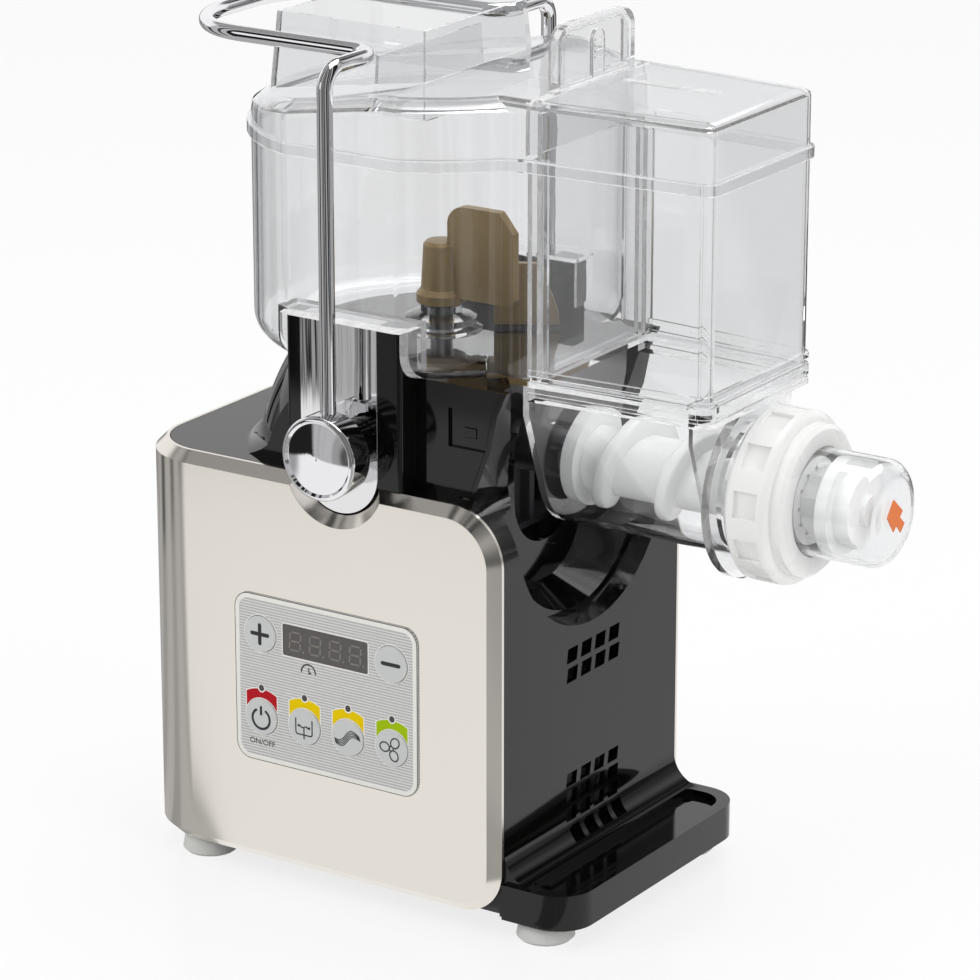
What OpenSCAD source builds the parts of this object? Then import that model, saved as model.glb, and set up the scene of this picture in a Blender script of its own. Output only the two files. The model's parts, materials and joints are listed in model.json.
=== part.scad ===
// Electric pasta maker: a kneading bowl with a lid, a feed chamber and an auger extruder
// on a steel clad motor base. Units are millimetres.
// The kneading spindle stands on x = 0 while the machine is drawn, +X points to the die,
// -Y to the control panel, and z = 0 is the worktop.

/* [Steel wrap] */
// Half of the width over the two steel sides
shell_half_w = 81.4; // [80.4:0.2:82.4]
// Distance from the spindle to the back of the wrap
shell_back = 122.6; // [118:0.2:126]
// Distance from the spindle to the front edge of the wrap
shell_front = 83.4; // [82.8:0.2:84]
// Height of the lower edge of the wrap
shell_low = 10; // [10:0.5:11]
// Height of the upper edge of the wrap
deck_z = 204; // [203:0.5:205]
// Thickness of the steel
steel = 1.2; // [1:0.1:1.4]
// Width of the bevel round the rim
shell_bevel = 5; // [4.5:0.1:5.5]
// Radius of the upper front corner
top_corner = 27; // [25:0.5:28]
// Radius of the lower front corner
low_corner = 22; // [20:0.5:24]
// Radius of the upright rear corners
rear_corner = 35; // [32:0.5:37]
// Radius of the round notch below each post
notch_r = 27.2; // [26:0.2:28]

/* [Front moulding] */
// Wall thickness of the black mouldings
skin = 2.5; // [2.2:0.1:2.8]
// Half of the width of the raised pedestal
pedestal_half_w = 66; // [65.4:0.2:66.4]
// Radius of the round recess in the front face
recess_r = 64.7; // [62:0.1:65]
// Height of the centre of the round recess
recess_z = 196.2; // [194:0.2:198]
// Distance from the spindle to the flat floor of the recess
recess_floor_x = 57; // [56:0.2:57.6]
// Distance from the spindle to the front edge of the tray
tray_front = 121; // [118:0.5:124]
// Half of the width of the tray
tray_half_w = 77; // [75:0.5:79]
// Height of the tray rim
tray_rim_z = 27; // [26:0.2:29]
// Depth of the tray hollow
tray_dish = 3; // [2:0.2:4]
// Spread of the vent columns
vent_pitch = 12; // [11.5:0.1:12.5]
// Width of a vent opening
vent_w = 8.6; // [8:0.1:9.2]

/* [Posts and handle] */
// Distance from the middle plane to the outer face of a post
post_face = 77; // [76.6:0.1:77.4]
// Height of the top of the posts
post_top = 278.5; // [276:0.5:280]
// Half of the width of the chrome inlay
inlay_half_w = 21; // [20:0.2:21.4]
// Height of the pivot of the handle
pivot_z = 221; // [220:0.5:222]
// Radius of the fixed pivot posts
pivot_r = 6; // [5:0.1:6.5]
// Running clearance round pivots and shafts
run_gap = 0.05; // [0.03:0.01:0.08]
// Radius of the handle knobs
knob_r = 19.7; // [18:0.1:20.5]
// Distance from the middle plane to the face of a knob
knob_face = 100; // [99:0.2:101]
// Radius of the handle wire
wire_r = 3.6; // [3.2:0.1:3.7]
// Distance from the middle plane to an upright leg of the wire
wire_y = 90.6; // [90.2:0.1:91]
// Height of the centre line of the upper loop
wire_top = 397; // [396:0.5:400]
// Distance from the spindle to the rear bar of the loop
wire_rear = 112.6; // [108:0.2:116]

/* [Bowl and lid] */
// Outer radius of the kneading bowl
bowl_r = 86; // [85:0.1:86.4]
// Half of the width across the flattened bowl sides
bowl_half_w = 81; // [80.5:0.1:81.5]
// Height of the top of the pedestal, on which the bowl stands
seat_z = 256; // [255:0.5:257]
// Height of the bowl rim
rim_z = 358; // [355:0.5:360]
// Thickness of the clear plastic
clear_wall = 2.4; // [2.2:0.1:2.6]
// Distance from the spindle to the front of the feed chamber
chamber_front = 169; // [167:0.5:171]
// Half of the width of the feed chamber beside the gate
chamber_half_w = 50; // [49.4:0.1:50.6]
// How much narrower each side of the chamber is at its front
chamber_taper = 5.5; // [4.5:0.1:6]
// Height of the flat top of the lid
lid_top = 385; // [383:0.5:387]
// Height of the lid above the rear shoulder
lid_rear_top = 372; // [370:0.5:374]
// Height of the rim of the pouring hopper
hopper_top = 407; // [403:0.5:410]
// Thickness of the gate plate
gate_t = 2; // [1.8:0.1:2.2]
// Height of the top of the gate tab
gate_top = 414; // [410:0.5:418]

/* [Paddle] */
// Radius of the kneading spindle
spindle_r = 5; // [4.6:0.1:5.4]
// Radius of the paddle hub
hub_r = 9.3; // [9:0.1:10.4]
// Reach of the tall blade
blade_reach = 43; // [38:0.5:48]
// Height of the top of the tall blade
blade_top = 318; // [314:0.5:322]
// Reach of the low scraper wing
wing_reach = 54; // [50:0.5:60]
// Direction of the low scraper wing in degrees from the tall blade
wing_turn = 33; // [25:1:70]
// Where the wing drops beside the spindle tower
wing_root = 24; // [22:0.5:27]

/* [Extruder] */
// Height of the axis of the auger
auger_z = 210.5; // [209.5:0.1:211.5]
// Outer radius of the round bottom of the extruder trough
trough_r = 31; // [30.6:0.1:31.4]
// Half of the width of the trough below the feed chamber
trough_half_w = 43.5; // [42:0.1:44]
// Radius over the auger flight
flight_r = 22; // [20:0.2:24]
// Radius of the auger core
core_r = 15; // [13.5:0.1:16]
// Length of one full turn of the auger flight
flight_pitch = 33; // [30:0.5:36]
// Width of the flight in degrees of its turn
flight_width = 104; // [90:1:115]
// Outer radius of the ring nut
nut_r = 39.5; // [38.5:0.1:40.5]
// Number of grip hollows round the ring nut
nut_grips = 11; // [9:1:12]
// Radius of the clear end cap
cap_r = 24.5; // [23.5:0.1:25]
// Distance from the spindle to the end of the cap
cap_end = 238; // [234:0.5:242]

/* [Controls] */
// Height of the middle of the printed panel
panel_z = 102; // [100:0.5:104]
// Distance from the spindle to the middle of the panel, towards the back
panel_back = 9.4; // [8:0.2:11]
// Width of the printed panel
panel_w = 102; // [100:0.5:104]
// Height of the printed panel
panel_h = 82; // [80:0.5:84]
// Thickness of the printed panel
panel_t = 0.8; // [0.6:0.1:1]
// Radius of the push keys
key_r = 8.7; // [8:0.1:9]
// Clearance round keys and buttons
key_gap = 0.3; // [0.2:0.05:0.4]
// Travel of a key
key_travel = 0.6; // [0.4:0.1:0.7]
// Spacing of the four lower keys
key_pitch = 24.4; // [24:0.1:25]

/* [Feet and drive] */
// Radius of the rubber feet
foot_r = 13.5; // [12:0.1:14]
// How far the middle of each foot stands in from the sides of the wrap
foot_inset = 19.4; // [18.4:0.1:21.4]
// Distance from the spindle to the front feet
foot_front = 98; // [96:0.5:100]
// Distance from the spindle to the rear feet
foot_back = 92; // [88:0.5:94]
// Teeth of the large gear
gear_teeth = 60; // [60:4:64]
// Teeth of the motor pinion
pinion_teeth = 12; // [12:4:12]
// Size of the spur teeth
tooth_module = 1; // [1:0.01:1.02]

/* [Hidden] */
$fn = 96;
eps = 0.01;
seam = 0.2;
fit_gap = 0.3;
shell_rear_x = -shell_back;
gland_face_x = shell_rear_x - 1.5;
arrow_t = 0.4;
machine_front = cap_end + arrow_t;
centre_x = (machine_front + gland_face_x) / 2;
rim_edge = shell_half_w - shell_bevel - 1.414 * steel;
moulding_half_w = rim_edge - fit_gap;
roll_x = shell_front - top_corner;
roll_z = deck_z - top_corner;
split_x = 54;
neck_low = [roll_x + 5.6, deck_z + 2];
neck_top_x = 79;
neck_mid = [70, 227];
post_inner = pedestal_half_w - skin;
post_back = pedestal_half_w - 0.6;
post_rear = -33;
post_front = 30;
inlay_x = -4;
inlay_t = 1.9;
inlay_z = 210;
post_wall = 4.5;
bush_r = 9;
boss_r = 11;
boss_end = 85.7;
pocket_x0 = -34.5;
pocket_x1 = 31.5;
pocket_y = 64.6;
pocket_top = post_top + 0.8;
bowl_floor = seat_z + clear_wall;
lid_round = 8;
lid_edge = 4;
bowl_round = 14;
blend_r = 25;
gate_x = 80.8;
chamber_x = 82;
chamber_corner = 5;
trough_rear = 73;
trough_front = 161;
trough_wall = 2.2;
trough_rise = 240;
foot_rim_x = 80.4;
thread_end = 182;
mouth_r = 28;
collar_x = 164;
nut_rear = 174;
flange_top = seat_z;
disc_t = 3;
cap_flange = disc_t + 3.5;
shaft_r = 5;
stub_r = 6;
bevel_r = 16;
bevel_h = 6;
bevel_teeth = 16;
gear_z = 177;
gear_h = 8;
frame_top = 171;
gear_r = gear_teeth * tooth_module / 2;
pinion_r = pinion_teeth * tooth_module / 2;
motor_x = -(gear_r + pinion_r);
motor_r = 25.6;
base_top = shell_low + 3;
foot_y = shell_half_w - foot_inset;
panel_x = -panel_back;
key_top_y = -(shell_half_w + panel_t + 0.8);
key_row_x = panel_x - 1.5 * key_pitch + 0.3;
key_row_z = panel_z - 18.8;
lamp_z = panel_z - 4.4;
digit_z = panel_z + 22;
window_w = 48;
window_h = 15.8;
board_face = shell_half_w - 9.4;
panel_cut = shell_half_w + 8;

// ---------------------------------------------------------------- shared helpers

// Moves the drawing so that the machine is centred over the origin.
module placed() { translate([-centre_x, 0, 0]) children(); }

// Repeats its children on the far side.
module both_sides() {
  children();
  mirror([0, 1, 0]) children();
}

// Cylinder along X through the point (y, z).
module bar_x(x0, x1, r, y = 0, z = 0) {
  translate([x0, y, z]) rotate([0, 90, 0]) cylinder(h = x1 - x0, r = r);
}

// Cylinder along Y through the point (x, z).
module bar_y(y0, y1, r, x = 0, z = 0) {
  translate([x, y0, z]) rotate([-90, 0, 0]) cylinder(h = y1 - y0, r = r);
}

// Cylinder along Z.
module bar_z(z0, z1, r, x = 0, y = 0) { translate([x, y, z0]) cylinder(h = z1 - z0, r = r); }

// Box from corner to corner.
module block(a, b) { translate(a) cube([b[0] - a[0], b[1] - a[1], b[2] - a[2]]); }

// Extrudes a side view, drawn as (x, z), from y0 to y1.
module side_view(y0, y1) {
  translate([0, y1, 0]) rotate([90, 0, 0]) linear_extrude(height = y1 - y0) children();
}

// Extrudes a front view, drawn as (y, z), from x0 to x1.
module front_view(x0, x1) {
  translate([x0, 0, 0]) rotate([90, 0, 90]) linear_extrude(height = x1 - x0) children();
}

// Corner waste of a rounded rectangle.
module corner_waste(x, y, r, turn) {
  if (r > 0) {
    translate([x, y]) rotate(turn) difference() {
      translate([-1, -1]) square([r + 1, r + 1]);
      translate([r, r]) circle(r = r);
    }
  }
}

// Rectangle with four corner radii: low left, low right, high right, high left.
module round_rect(x0, y0, x1, y1, radii) {
  difference() {
    translate([x0, y0]) square([x1 - x0, y1 - y0]);
    corner_waste(x0, y0, radii[0], 0);
    corner_waste(x1, y0, radii[1], 90);
    corner_waste(x1, y1, radii[2], 180);
    corner_waste(x0, y1, radii[3], 270);
  }
}

// ---------------------------------------------------------------- steel wrap

// Solid inside a face of the steel wrap, with a bevel round its rim.
module pan_solid(half_w, rear_x, front_x, low_z, high_z, bevel, top_r, bottom_r, rear_r) {
  hull() {
    side_view(-half_w, half_w)
      round_rect(rear_x + rear_r, low_z + bevel, front_x - bevel, high_z - bevel,
                 [0, bottom_r - bevel, top_r - bevel, 0]);
    side_view(-half_w + bevel, half_w - bevel)
      round_rect(rear_x + rear_r, low_z, front_x, high_z, [0, bottom_r, top_r, 0]);
    for (side = [-1, 1]) {
      translate([rear_x + rear_r, side * (half_w - rear_r), 0]) {
        bar_z(low_z + bevel, high_z - bevel, rear_r);
        bar_z(low_z, high_z, rear_r - bevel);
      }
    }
  }
}

module pan_outside() {
  pan_solid(shell_half_w, shell_rear_x, shell_front, shell_low, deck_z,
            shell_bevel, top_corner, low_corner, rear_corner);
}

// Bevelled cone that leads into a notch, on the near side.
module notch_cone(grow) {
  translate([inlay_x, -shell_half_w - 1, inlay_z]) rotate([-90, 0, 0])
    cylinder(h = shell_bevel + 1, r1 = notch_r + 1 + grow, r2 = notch_r - 5.2 + grow);
}

module side_shell() {
  spare = 4;
  placed() color("gainsboro") difference() {
    union() {
      difference() {
        pan_outside();
        pan_solid(shell_half_w - steel, shell_rear_x + steel, shell_front + spare,
                  shell_low - spare, deck_z + spare, shell_bevel + 0.414 * steel + spare,
                  top_corner + spare, low_corner + spare, rear_corner - steel);
      }
      intersection() {
        pan_outside();
        both_sides() notch_cone(steel * 1.2);
      }
    }
    both_sides() {
      notch_cone(0);
      bar_y(-shell_half_w, -60, notch_r - 5.2, inlay_x, inlay_z);
    }
    for (key = [0:3]) {
      bar_y(-shell_half_w - 1, -70, key_r + key_gap, key_row_x + key * key_pitch, key_row_z);
      bar_y(-shell_half_w - 1, -70, 1.6, key_row_x + key * key_pitch, lamp_z);
    }
    for (key = [0, 3])
      bar_y(-shell_half_w - 1, -70, key_r + key_gap, key_row_x + key * key_pitch, digit_z);
    block([panel_x - window_w / 2, -shell_half_w - 1, digit_z - window_h / 2],
          [panel_x + window_w / 2, -70, digit_z + window_h / 2]);
    bar_x(shell_rear_x - 1, shell_rear_x + 10, 6.3, 0, 36);
  }
}

module cord_gland() {
  placed() color([0.1, 0.1, 0.11]) difference() {
    union() {
      bar_x(gland_face_x, shell_rear_x, 9, 0, 36);
      bar_x(gland_face_x, shell_rear_x + 12, 6, 0, 36);
      bar_x(shell_rear_x + steel, shell_rear_x + 6, 9, 0, 36);
    }
    bar_x(gland_face_x - 1, shell_rear_x + 20, 3.6, 0, 36);
  }
}

// ---------------------------------------------------------------- black mouldings

// Side view of the front of the pedestal, leaning forward below the feed chamber.
module neck_side(back) {
  polygon([[split_x - 30, 190], [roll_x, 190], [neck_low[0] - back, neck_low[1] - 4],
           [neck_low[0] - back, neck_low[1]], [neck_mid[0] - back, neck_mid[1]],
           [neck_mid[0] + 4 - back, 245], [neck_top_x - back, seat_z], [split_x - 30, seat_z]]);
}

// One stage of the recess: a round hollow that stays open upwards.
module recess_stage(x0, r0, z0, x1, r1, z1) {
  hull() {
    bar_x(x0, x0 + eps, r0, 0, z0);
    block([x0, -r0, z0], [x0 + eps, r0, seat_z + 20]);
    bar_x(x1 - eps, x1, r1, 0, z1);
    block([x1 - eps, -r1, z1], [x1, r1, seat_z + 20]);
  }
}

// Whole round recess in the front, larger by grow for its wall.
module recess(grow) {
  recess_stage(recess_floor_x - grow, recess_r / 2 + grow, recess_z - 17,
               recess_floor_x + 17.5, recess_r - 9 + grow, recess_z - 4);
  recess_stage(recess_floor_x + 17 - grow, recess_r - 3 + grow, recess_z - 1,
               shell_front + 1, recess_r + grow, recess_z);
}

// Solid of the front face with its rolled upper edge.
module face_solid(inset) {
  side_view(-moulding_half_w + inset, moulding_half_w - inset)
    round_rect(split_x - (inset > 0 ? 5 : 0), shell_low + inset, shell_front - inset,
               deck_z - inset, [0, 0, top_corner - inset, 0]);
}

// Plan of the tray.
module tray_plan(inset) {
  round_rect(shell_front + seam, -tray_half_w + inset, tray_front - inset, tray_half_w - inset,
             [0, 18 - inset, 18 - inset, 0]);
}

module tray_solid() {
  fillet = 15;
  difference() {
    union() {
      translate([0, 0, shell_low]) linear_extrude(height = tray_rim_z - shell_low)
        tray_plan(0);
      block([shell_front - 2, -moulding_half_w, tray_rim_z - 1],
            [shell_front + fillet, moulding_half_w, tray_rim_z + fillet]);
    }
    bar_y(-100, 100, fillet, shell_front + fillet, tray_rim_z + fillet);
    translate([0, 0, tray_rim_z - tray_dish]) linear_extrude(height = 10)
      round_rect(shell_front + fillet - 4, -tray_half_w + 7, tray_front - 6, tray_half_w - 7,
                 [4, 12, 12, 4]);
    translate([0, 0, shell_low - 1])
      linear_extrude(height = tray_rim_z - tray_dish - skin - shell_low + 1)
      tray_plan(skin);
  }
}

// One slanted vent opening, cut through the front.
module vent(y, z, h) {
  translate([shell_front - 8, y, z]) rotate([90, 0, 90]) linear_extrude(height = 30)
    polygon([[-vent_w / 2, 0], [vent_w / 2, 0], [vent_w / 2 + 1.2, h], [-vent_w / 2 + 1.2, h]]);
}

module front_housing() {
  placed() color([0.12, 0.12, 0.13]) difference() {
    union() {
      difference() {
        union() {
          face_solid(0);
          intersection() {
            side_view(-pedestal_half_w, pedestal_half_w) neck_side(0);
            block([split_x, -100, 190], [100, 100, seat_z]);
          }
        }
        difference() {
          union() {
            face_solid(skin);
            side_view(-pedestal_half_w - 1, pedestal_half_w + 1)
              difference() {
                neck_side(skin);
                translate([0, 180]) square([200, deck_z - 180 - skin]);
              }
            block([split_x - 1, 1.4 - shell_half_w, shell_low - 1],
                  [shell_front - skin, shell_half_w - 1.4, shell_low + 4]);
          }
          recess(skin);
        }
      }
      tray_solid();
    }
    recess(0);
    block([0, -100, deck_z - skin], [split_x, 100, seat_z + 5]);
    block([0, -100, 0], [split_x, 100, seat_z + 5]);
    for (z = [auger_z - 18.5, auger_z]) bar_x(split_x - 2, recess_floor_x + 1, 26, 0, z);
    block([split_x - 2, -26, auger_z - 18.5], [recess_floor_x + 1, 26, auger_z]);
    for (column = [-1.5:1:1.5]) {
      for (row = [0, 1]) vent(column * vent_pitch, 107 + row * 9.5, 7);
      for (row = [0:3]) vent(column * vent_pitch, 30 + row * 8.6, 6.4);
    }
    for (side = [-1, 1]) bar_z(shell_low - 1, shell_low + 30, 2.1, foot_front, side * foot_y);
  }
  placed() color([0.12, 0.12, 0.13]) intersection() {
    difference() {
      for (side = [-1, 1]) bar_z(shell_low, tray_rim_z - tray_dish - 1, 6, foot_front, side * foot_y);
      for (side = [-1, 1]) bar_z(shell_low - 1, shell_low + 12, 2.1, foot_front, side * foot_y);
    }
    block([0, -100, 0], [tray_front, 100, 60]);
  }
}

// Radius of the flared back of the pedestal at a height between 0 and 1.
function flare(t) = 84 - 20 * pow(t, 1.8) + 7 * pow(max(0, 1 - t / 0.15), 2);

// Flared round pedestal, smaller by inset for its hollow.
module flare_solid(inset) {
  steps = 14;
  high = seat_z - inset;
  intersection() {
    rotate_extrude() polygon(concat(
      [[0, deck_z - 8]],
      [[flare(0) - inset, deck_z - 8]],
      [for (i = [0:steps], t = pow(i / steps, 1.4)) [flare(t) - inset, deck_z + (high - deck_z) * t]],
      [[0, high]]));
    block([-150, -pedestal_half_w + inset, 0], [26, pedestal_half_w - inset, 400]);
  }
}

// Plan of the deck, inset from the bevelled rim of the wrap.
module deck_plan() {
  rear_r = rear_corner - shell_bevel - 1.414 * steel - fit_gap;
  round_rect(shell_rear_x + shell_half_w - moulding_half_w, -moulding_half_w,
             split_x - seam, moulding_half_w, [rear_r, 0, 0, rear_r]);
}

// Post that carries the handle, on the near side.
module post_solid() {
  foot = deck_z + fit_gap;
  translate([0, 0, foot]) linear_extrude(height = post_top - foot)
    round_rect(post_rear, -post_face, post_front, -post_back, [2.5, 2.5, 0, 0]);
  block([post_rear, -moulding_half_w, deck_z - skin], [post_front, -post_back, foot + 1]);
  bar_y(-boss_end, -post_face + 1, boss_r, 0, pivot_z);
  intersection() {
    bar_y(-post_face + inlay_t, -post_face + post_wall, inlay_half_w, inlay_x, inlay_z);
    block([-60, -80, 180], [60, -60, foot + 1]);
  }
}

// Chrome inlay of a post, on the near side, larger by grow for its seat.
module inlay_solid(grow) {
  x0 = inlay_x - inlay_half_w - grow;
  x1 = inlay_x + inlay_half_w + grow;
  bar_y(-post_face - 1, -post_face + inlay_t, inlay_half_w + grow, inlay_x, inlay_z);
  block([x0, -post_face - 1, inlay_z], [x1, -post_face + inlay_t, post_top + 1]);
  block([x0, -post_face - 1, post_top - inlay_t], [x1, -post_back - 1, post_top + 1]);
}

module top_cover() {
  placed() color([0.08, 0.08, 0.09]) difference() {
    union() {
      difference() {
        union() {
          translate([0, 0, deck_z - skin]) linear_extrude(height = skin) deck_plan();
          flare_solid(0);
          side_view(-pedestal_half_w, pedestal_half_w) difference() {
            neck_side(skin + seam);
            translate([0, 180]) square([200, deck_z - skin - 180]);
          }
        }
        flare_solid(skin);
        side_view(-pedestal_half_w + skin, pedestal_half_w - skin) difference() {
          neck_side(2 * skin + seam);
          translate([-50, seat_z - skin]) square([200, 20]);
        }
        block([-150, -100, 150], [split_x, 100, deck_z - skin]);
      }
      intersection() {
        both_sides() post_solid();
        block([-60, -100, 150], [60, 100, post_top]);
      }
    }
    block([split_x - seam, -100, 150], [100, 100, deck_z]);
    difference() {
      block([split_x - seam, -100, 150], [100, 100, neck_low[1]]);
      side_view(-pedestal_half_w - 1, pedestal_half_w + 1) neck_side(skin + seam);
    }
    both_sides() {
      block([post_rear + skin, -post_face + post_wall, deck_z - skin - 1],
            [-boss_r, -pedestal_half_w, post_top - post_wall]);
      block([boss_r, -post_face + post_wall, deck_z - skin - 1],
            [post_front - skin, -pedestal_half_w, post_top - post_wall]);
      difference() {
        inlay_solid(0.1);
        bar_y(-boss_end, -post_face + 3, boss_r, 0, pivot_z);
      }
      bar_y(-boss_end - 1, -40, pivot_r + 0.1, 0, pivot_z);
    }
    recess(skin + seam);
    bar_z(seat_z - 8, seat_z + 1, bush_r + 0.1);
    block([48, -80, 227], [68, -pedestal_half_w + 1.6, 245]);
    block([56 - key_gap, -80, 232.4 - key_gap], [62 + key_gap, -60, 236.6 + key_gap]);
  }
}

module near_inlay() { inlay("near"); }
module far_inlay() { inlay("far"); }

// Chrome inlay on the near or the far post.
module inlay(side) {
  placed() color("silver") mirror([0, side == "far" ? 1 : 0, 0]) difference() {
    intersection() {
      inlay_solid(0);
      block([-60, -post_face, 150], [60, 0, post_top]);
    }
    bar_y(-100, -60, boss_r + fit_gap, 0, pivot_z);
  }
}

module base_plate() {
  rear_r = rear_corner - shell_bevel - 1.414 * steel - fit_gap;
  placed() color([0.1, 0.1, 0.11]) difference() {
    union() {
      translate([0, 0, shell_low]) linear_extrude(height = base_top - shell_low)
        round_rect(shell_rear_x + shell_half_w - moulding_half_w, -moulding_half_w,
                   split_x - seam, moulding_half_w, [rear_r, 0, 0, rear_r]);
      block([split_x - 1, -moulding_half_w + skin + seam, shell_low],
            [shell_front - skin - seam, moulding_half_w - skin - seam, base_top]);
      for (side = [-1, 1]) bar_z(shell_low, shell_low + 14, 6, -foot_back, side * foot_y);
    }
    for (side = [-1, 1]) bar_z(shell_low - 1, shell_low + 12, 2.1, -foot_back, side * foot_y);
    for (row = [-5:5]) for (side = [-1, 1])
      block([row * 8 - 42, side * 26 - 12, shell_low - 1],
            [row * 8 - 39, side * 26 + 12, base_top + 1]);
  }
}

// Repeats its children at the four feet.
module at_feet() {
  for (x = [-foot_back, foot_front]) for (side = [-1, 1]) translate([x, side * foot_y, 0])
    children();
}

module rubber_feet() {
  placed() color([0.85, 0.85, 0.84]) at_feet() difference() {
    rotate_extrude() polygon([[2.2, 0], [foot_r - 1.5, 0], [foot_r, 1.5], [foot_r - 1, 7],
                              [foot_r - 2.5, shell_low], [2.2, shell_low]]);
    translate([0, 0, -1]) cylinder(h = 5, r = 4.6);
  }
}

module base_screws() {
  placed() color("dimgray") at_feet() difference() {
    union() {
      bar_z(1.8, 4, 4.2);
      bar_z(3, shell_low + 9, 1.9);
    }
    block([-2.6, -0.5, 1], [2.6, 0.5, 2.9]);
    block([-0.5, -2.6, 1], [0.5, 2.6, 2.9]);
  }
}

// ---------------------------------------------------------------- controls

module control_overlay() {
  placed() color([0.78, 0.79, 0.8]) difference() {
    side_view(-shell_half_w - panel_t, -shell_half_w)
      round_rect(panel_x - panel_w / 2, panel_z - panel_h / 2, panel_x + panel_w / 2,
                 panel_z + panel_h / 2, [8, 8, 8, 8]);
    for (key = [0:3]) {
      bar_y(-panel_cut, eps - board_face, key_r + key_gap, key_row_x + key * key_pitch, key_row_z);
      bar_y(-panel_cut, eps - board_face, 1.6, key_row_x + key * key_pitch, lamp_z);
    }
    for (key = [0, 3])
      bar_y(-panel_cut, eps - board_face, key_r + key_gap, key_row_x + key * key_pitch, digit_z);
    block([panel_x - window_w / 2, -panel_cut, digit_z - window_h / 2],
          [panel_x + window_w / 2, eps - board_face, digit_z + window_h / 2]);
  }
}

module display_lens() {
  placed() color([0.2, 0.18, 0.18]) block(
    [panel_x - window_w / 2 + 0.2, -shell_half_w - panel_t, digit_z - window_h / 2 + 0.2],
    [panel_x + window_w / 2 - 0.2, -shell_half_w + steel, digit_z + window_h / 2 - 0.2]);
}

module digit_module() {
  placed() color([0.3, 0.3, 0.3]) difference() {
    block([panel_x - 22.5, -shell_half_w + steel + 0.2, digit_z - 7],
          [panel_x + 22.5, -board_face, digit_z + 7]);
    for (digit = [-1.5:1:1.5])
      block([panel_x + digit * 11 - 4, -shell_half_w + steel - 1, digit_z - 5.5],
            [panel_x + digit * 11 + 4, -shell_half_w + steel + 1, digit_z + 5.5]);
  }
}

module led_lights() {
  placed() color([0.7, 0.1, 0.1]) for (key = [0:3]) {
    x = key_row_x + key * key_pitch;
    bar_y(-shell_half_w - panel_t - 0.3, -board_face, 1.3, x, lamp_z);
    bar_y(-board_face - 3, -board_face, 2, x, lamp_z);
  }
}

module circuit_board() {
  placed() color([0.1, 0.4, 0.2]) {
    block([panel_x - 49, -board_face, panel_z - 38], [panel_x + 49, 1.6 - board_face, panel_z + 38]);
    for (key = [0:3])
      bar_y(-board_face - 1.8, -board_face + eps, 3, key_row_x + key * key_pitch, key_row_z);
    for (key = [0, 3])
      bar_y(-board_face - 1.8, -board_face + eps, 3, key_row_x + key * key_pitch, digit_z);
  }
}

module board_frame() {
  back = 1.6 - board_face;
  placed() color([0.15, 0.15, 0.16]) {
    difference() {
      block([panel_x - 50, back + 4, base_top], [panel_x + 50, back + 6, panel_z + 42]);
      block([panel_x - 38, back, panel_z - 28], [panel_x + 38, back + 10, panel_z + 30]);
      block([panel_x - 38, back, base_top + 10], [panel_x + 38, back + 10, panel_z - 44]);
    }
    block([panel_x - 50, back + 4, base_top], [panel_x + 50, back + 14, base_top + 3]);
    for (x = [-44, 44]) for (z = [-34, 34])
      bar_y(back, back + 4.5, 3, panel_x + x, panel_z + z);
  }
}

// Push key with its collar behind the steel and its plunger.
module push_key(x, z) {
  placed() bar_y(key_top_y, -shell_half_w + steel + 0.5, key_r, x, z);
  placed() bar_y(-shell_half_w + steel, -shell_half_w + steel + 1.1, key_r + 1.2, x, z);
  placed() bar_y(-shell_half_w + steel + 1, -board_face - 1.8 - key_travel - 0.2, 2.5, x, z);
}

module key_plus() { color([0.9, 0.9, 0.9]) push_key(key_row_x, digit_z); }
module key_minus() { color([0.9, 0.9, 0.9]) push_key(key_row_x + 3 * key_pitch, digit_z); }
module key_power() { color([0.9, 0.9, 0.9]) push_key(key_row_x, key_row_z); }
module key_knead() { color([0.9, 0.9, 0.9]) push_key(key_row_x + key_pitch, key_row_z); }
module key_extrude() { color([0.9, 0.9, 0.9]) push_key(key_row_x + 2 * key_pitch, key_row_z); }
module key_blow() { color([0.9, 0.9, 0.9]) push_key(key_row_x + 3 * key_pitch, key_row_z); }

module latch_button() {
  face = -pedestal_half_w + 1.6;
  placed() color([0.2, 0.2, 0.2]) {
    block([56, face - 0.4, 232.4], [62, -pedestal_half_w + skin + 1, 236.6]);
    block([54.5, -pedestal_half_w + skin, 231], [63.5, -pedestal_half_w + skin + 1.5, 238]);
  }
}

module safety_switch() {
  placed() color([0.2, 0.2, 0.22]) {
    block([-40, 24, seat_z - skin - 10], [-20, 31, seat_z - skin]);
    block([-37, 25, seat_z - skin - 14], [-36, 30, seat_z - skin - 9]);
    block([-24, 25, seat_z - skin - 14], [-23, 30, seat_z - skin - 9]);
  }
}

// ---------------------------------------------------------------- handle

module pivot_posts() {
  placed() color("gray") both_sides() {
    bar_y(-knob_face + 6, -post_inner + 2, pivot_r, 0, pivot_z);
    bar_y(-post_inner, -post_inner + 3, pivot_r + 3, 0, pivot_z);
  }
}

// Chrome knob at the foot of the handle, on the near side.
module knob_solid() {
  back = knob_face - 14;
  difference() {
    translate([0, 0, pivot_z]) rotate([90, 0, 0]) rotate_extrude() polygon(concat(
      [[0, back], [knob_r - 0.8, back], [knob_r, back + 0.8], [knob_r, knob_face - 2]],
      [for (a = [0:15:90]) [knob_r - 2 + 2 * cos(a), knob_face - 2 + 2 * sin(a)]],
      [for (i = [0:8]) [(knob_r - 3.2) * (1 - i / 8), knob_face - 1.2 + 1.6 * sin(i * 90 / 8)]]));
    bar_y(-knob_face + 5.5, -back + 1, pivot_r + run_gap, 0, pivot_z);
    bar_z(pivot_z + 9, pivot_z + 40, wire_r + 0.1, 0, -wire_y);
  }
}

module near_knob() { placed() color("silver") knob_solid(); }
module far_knob() { placed() color("silver") mirror([0, 1, 0]) knob_solid(); }

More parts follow.
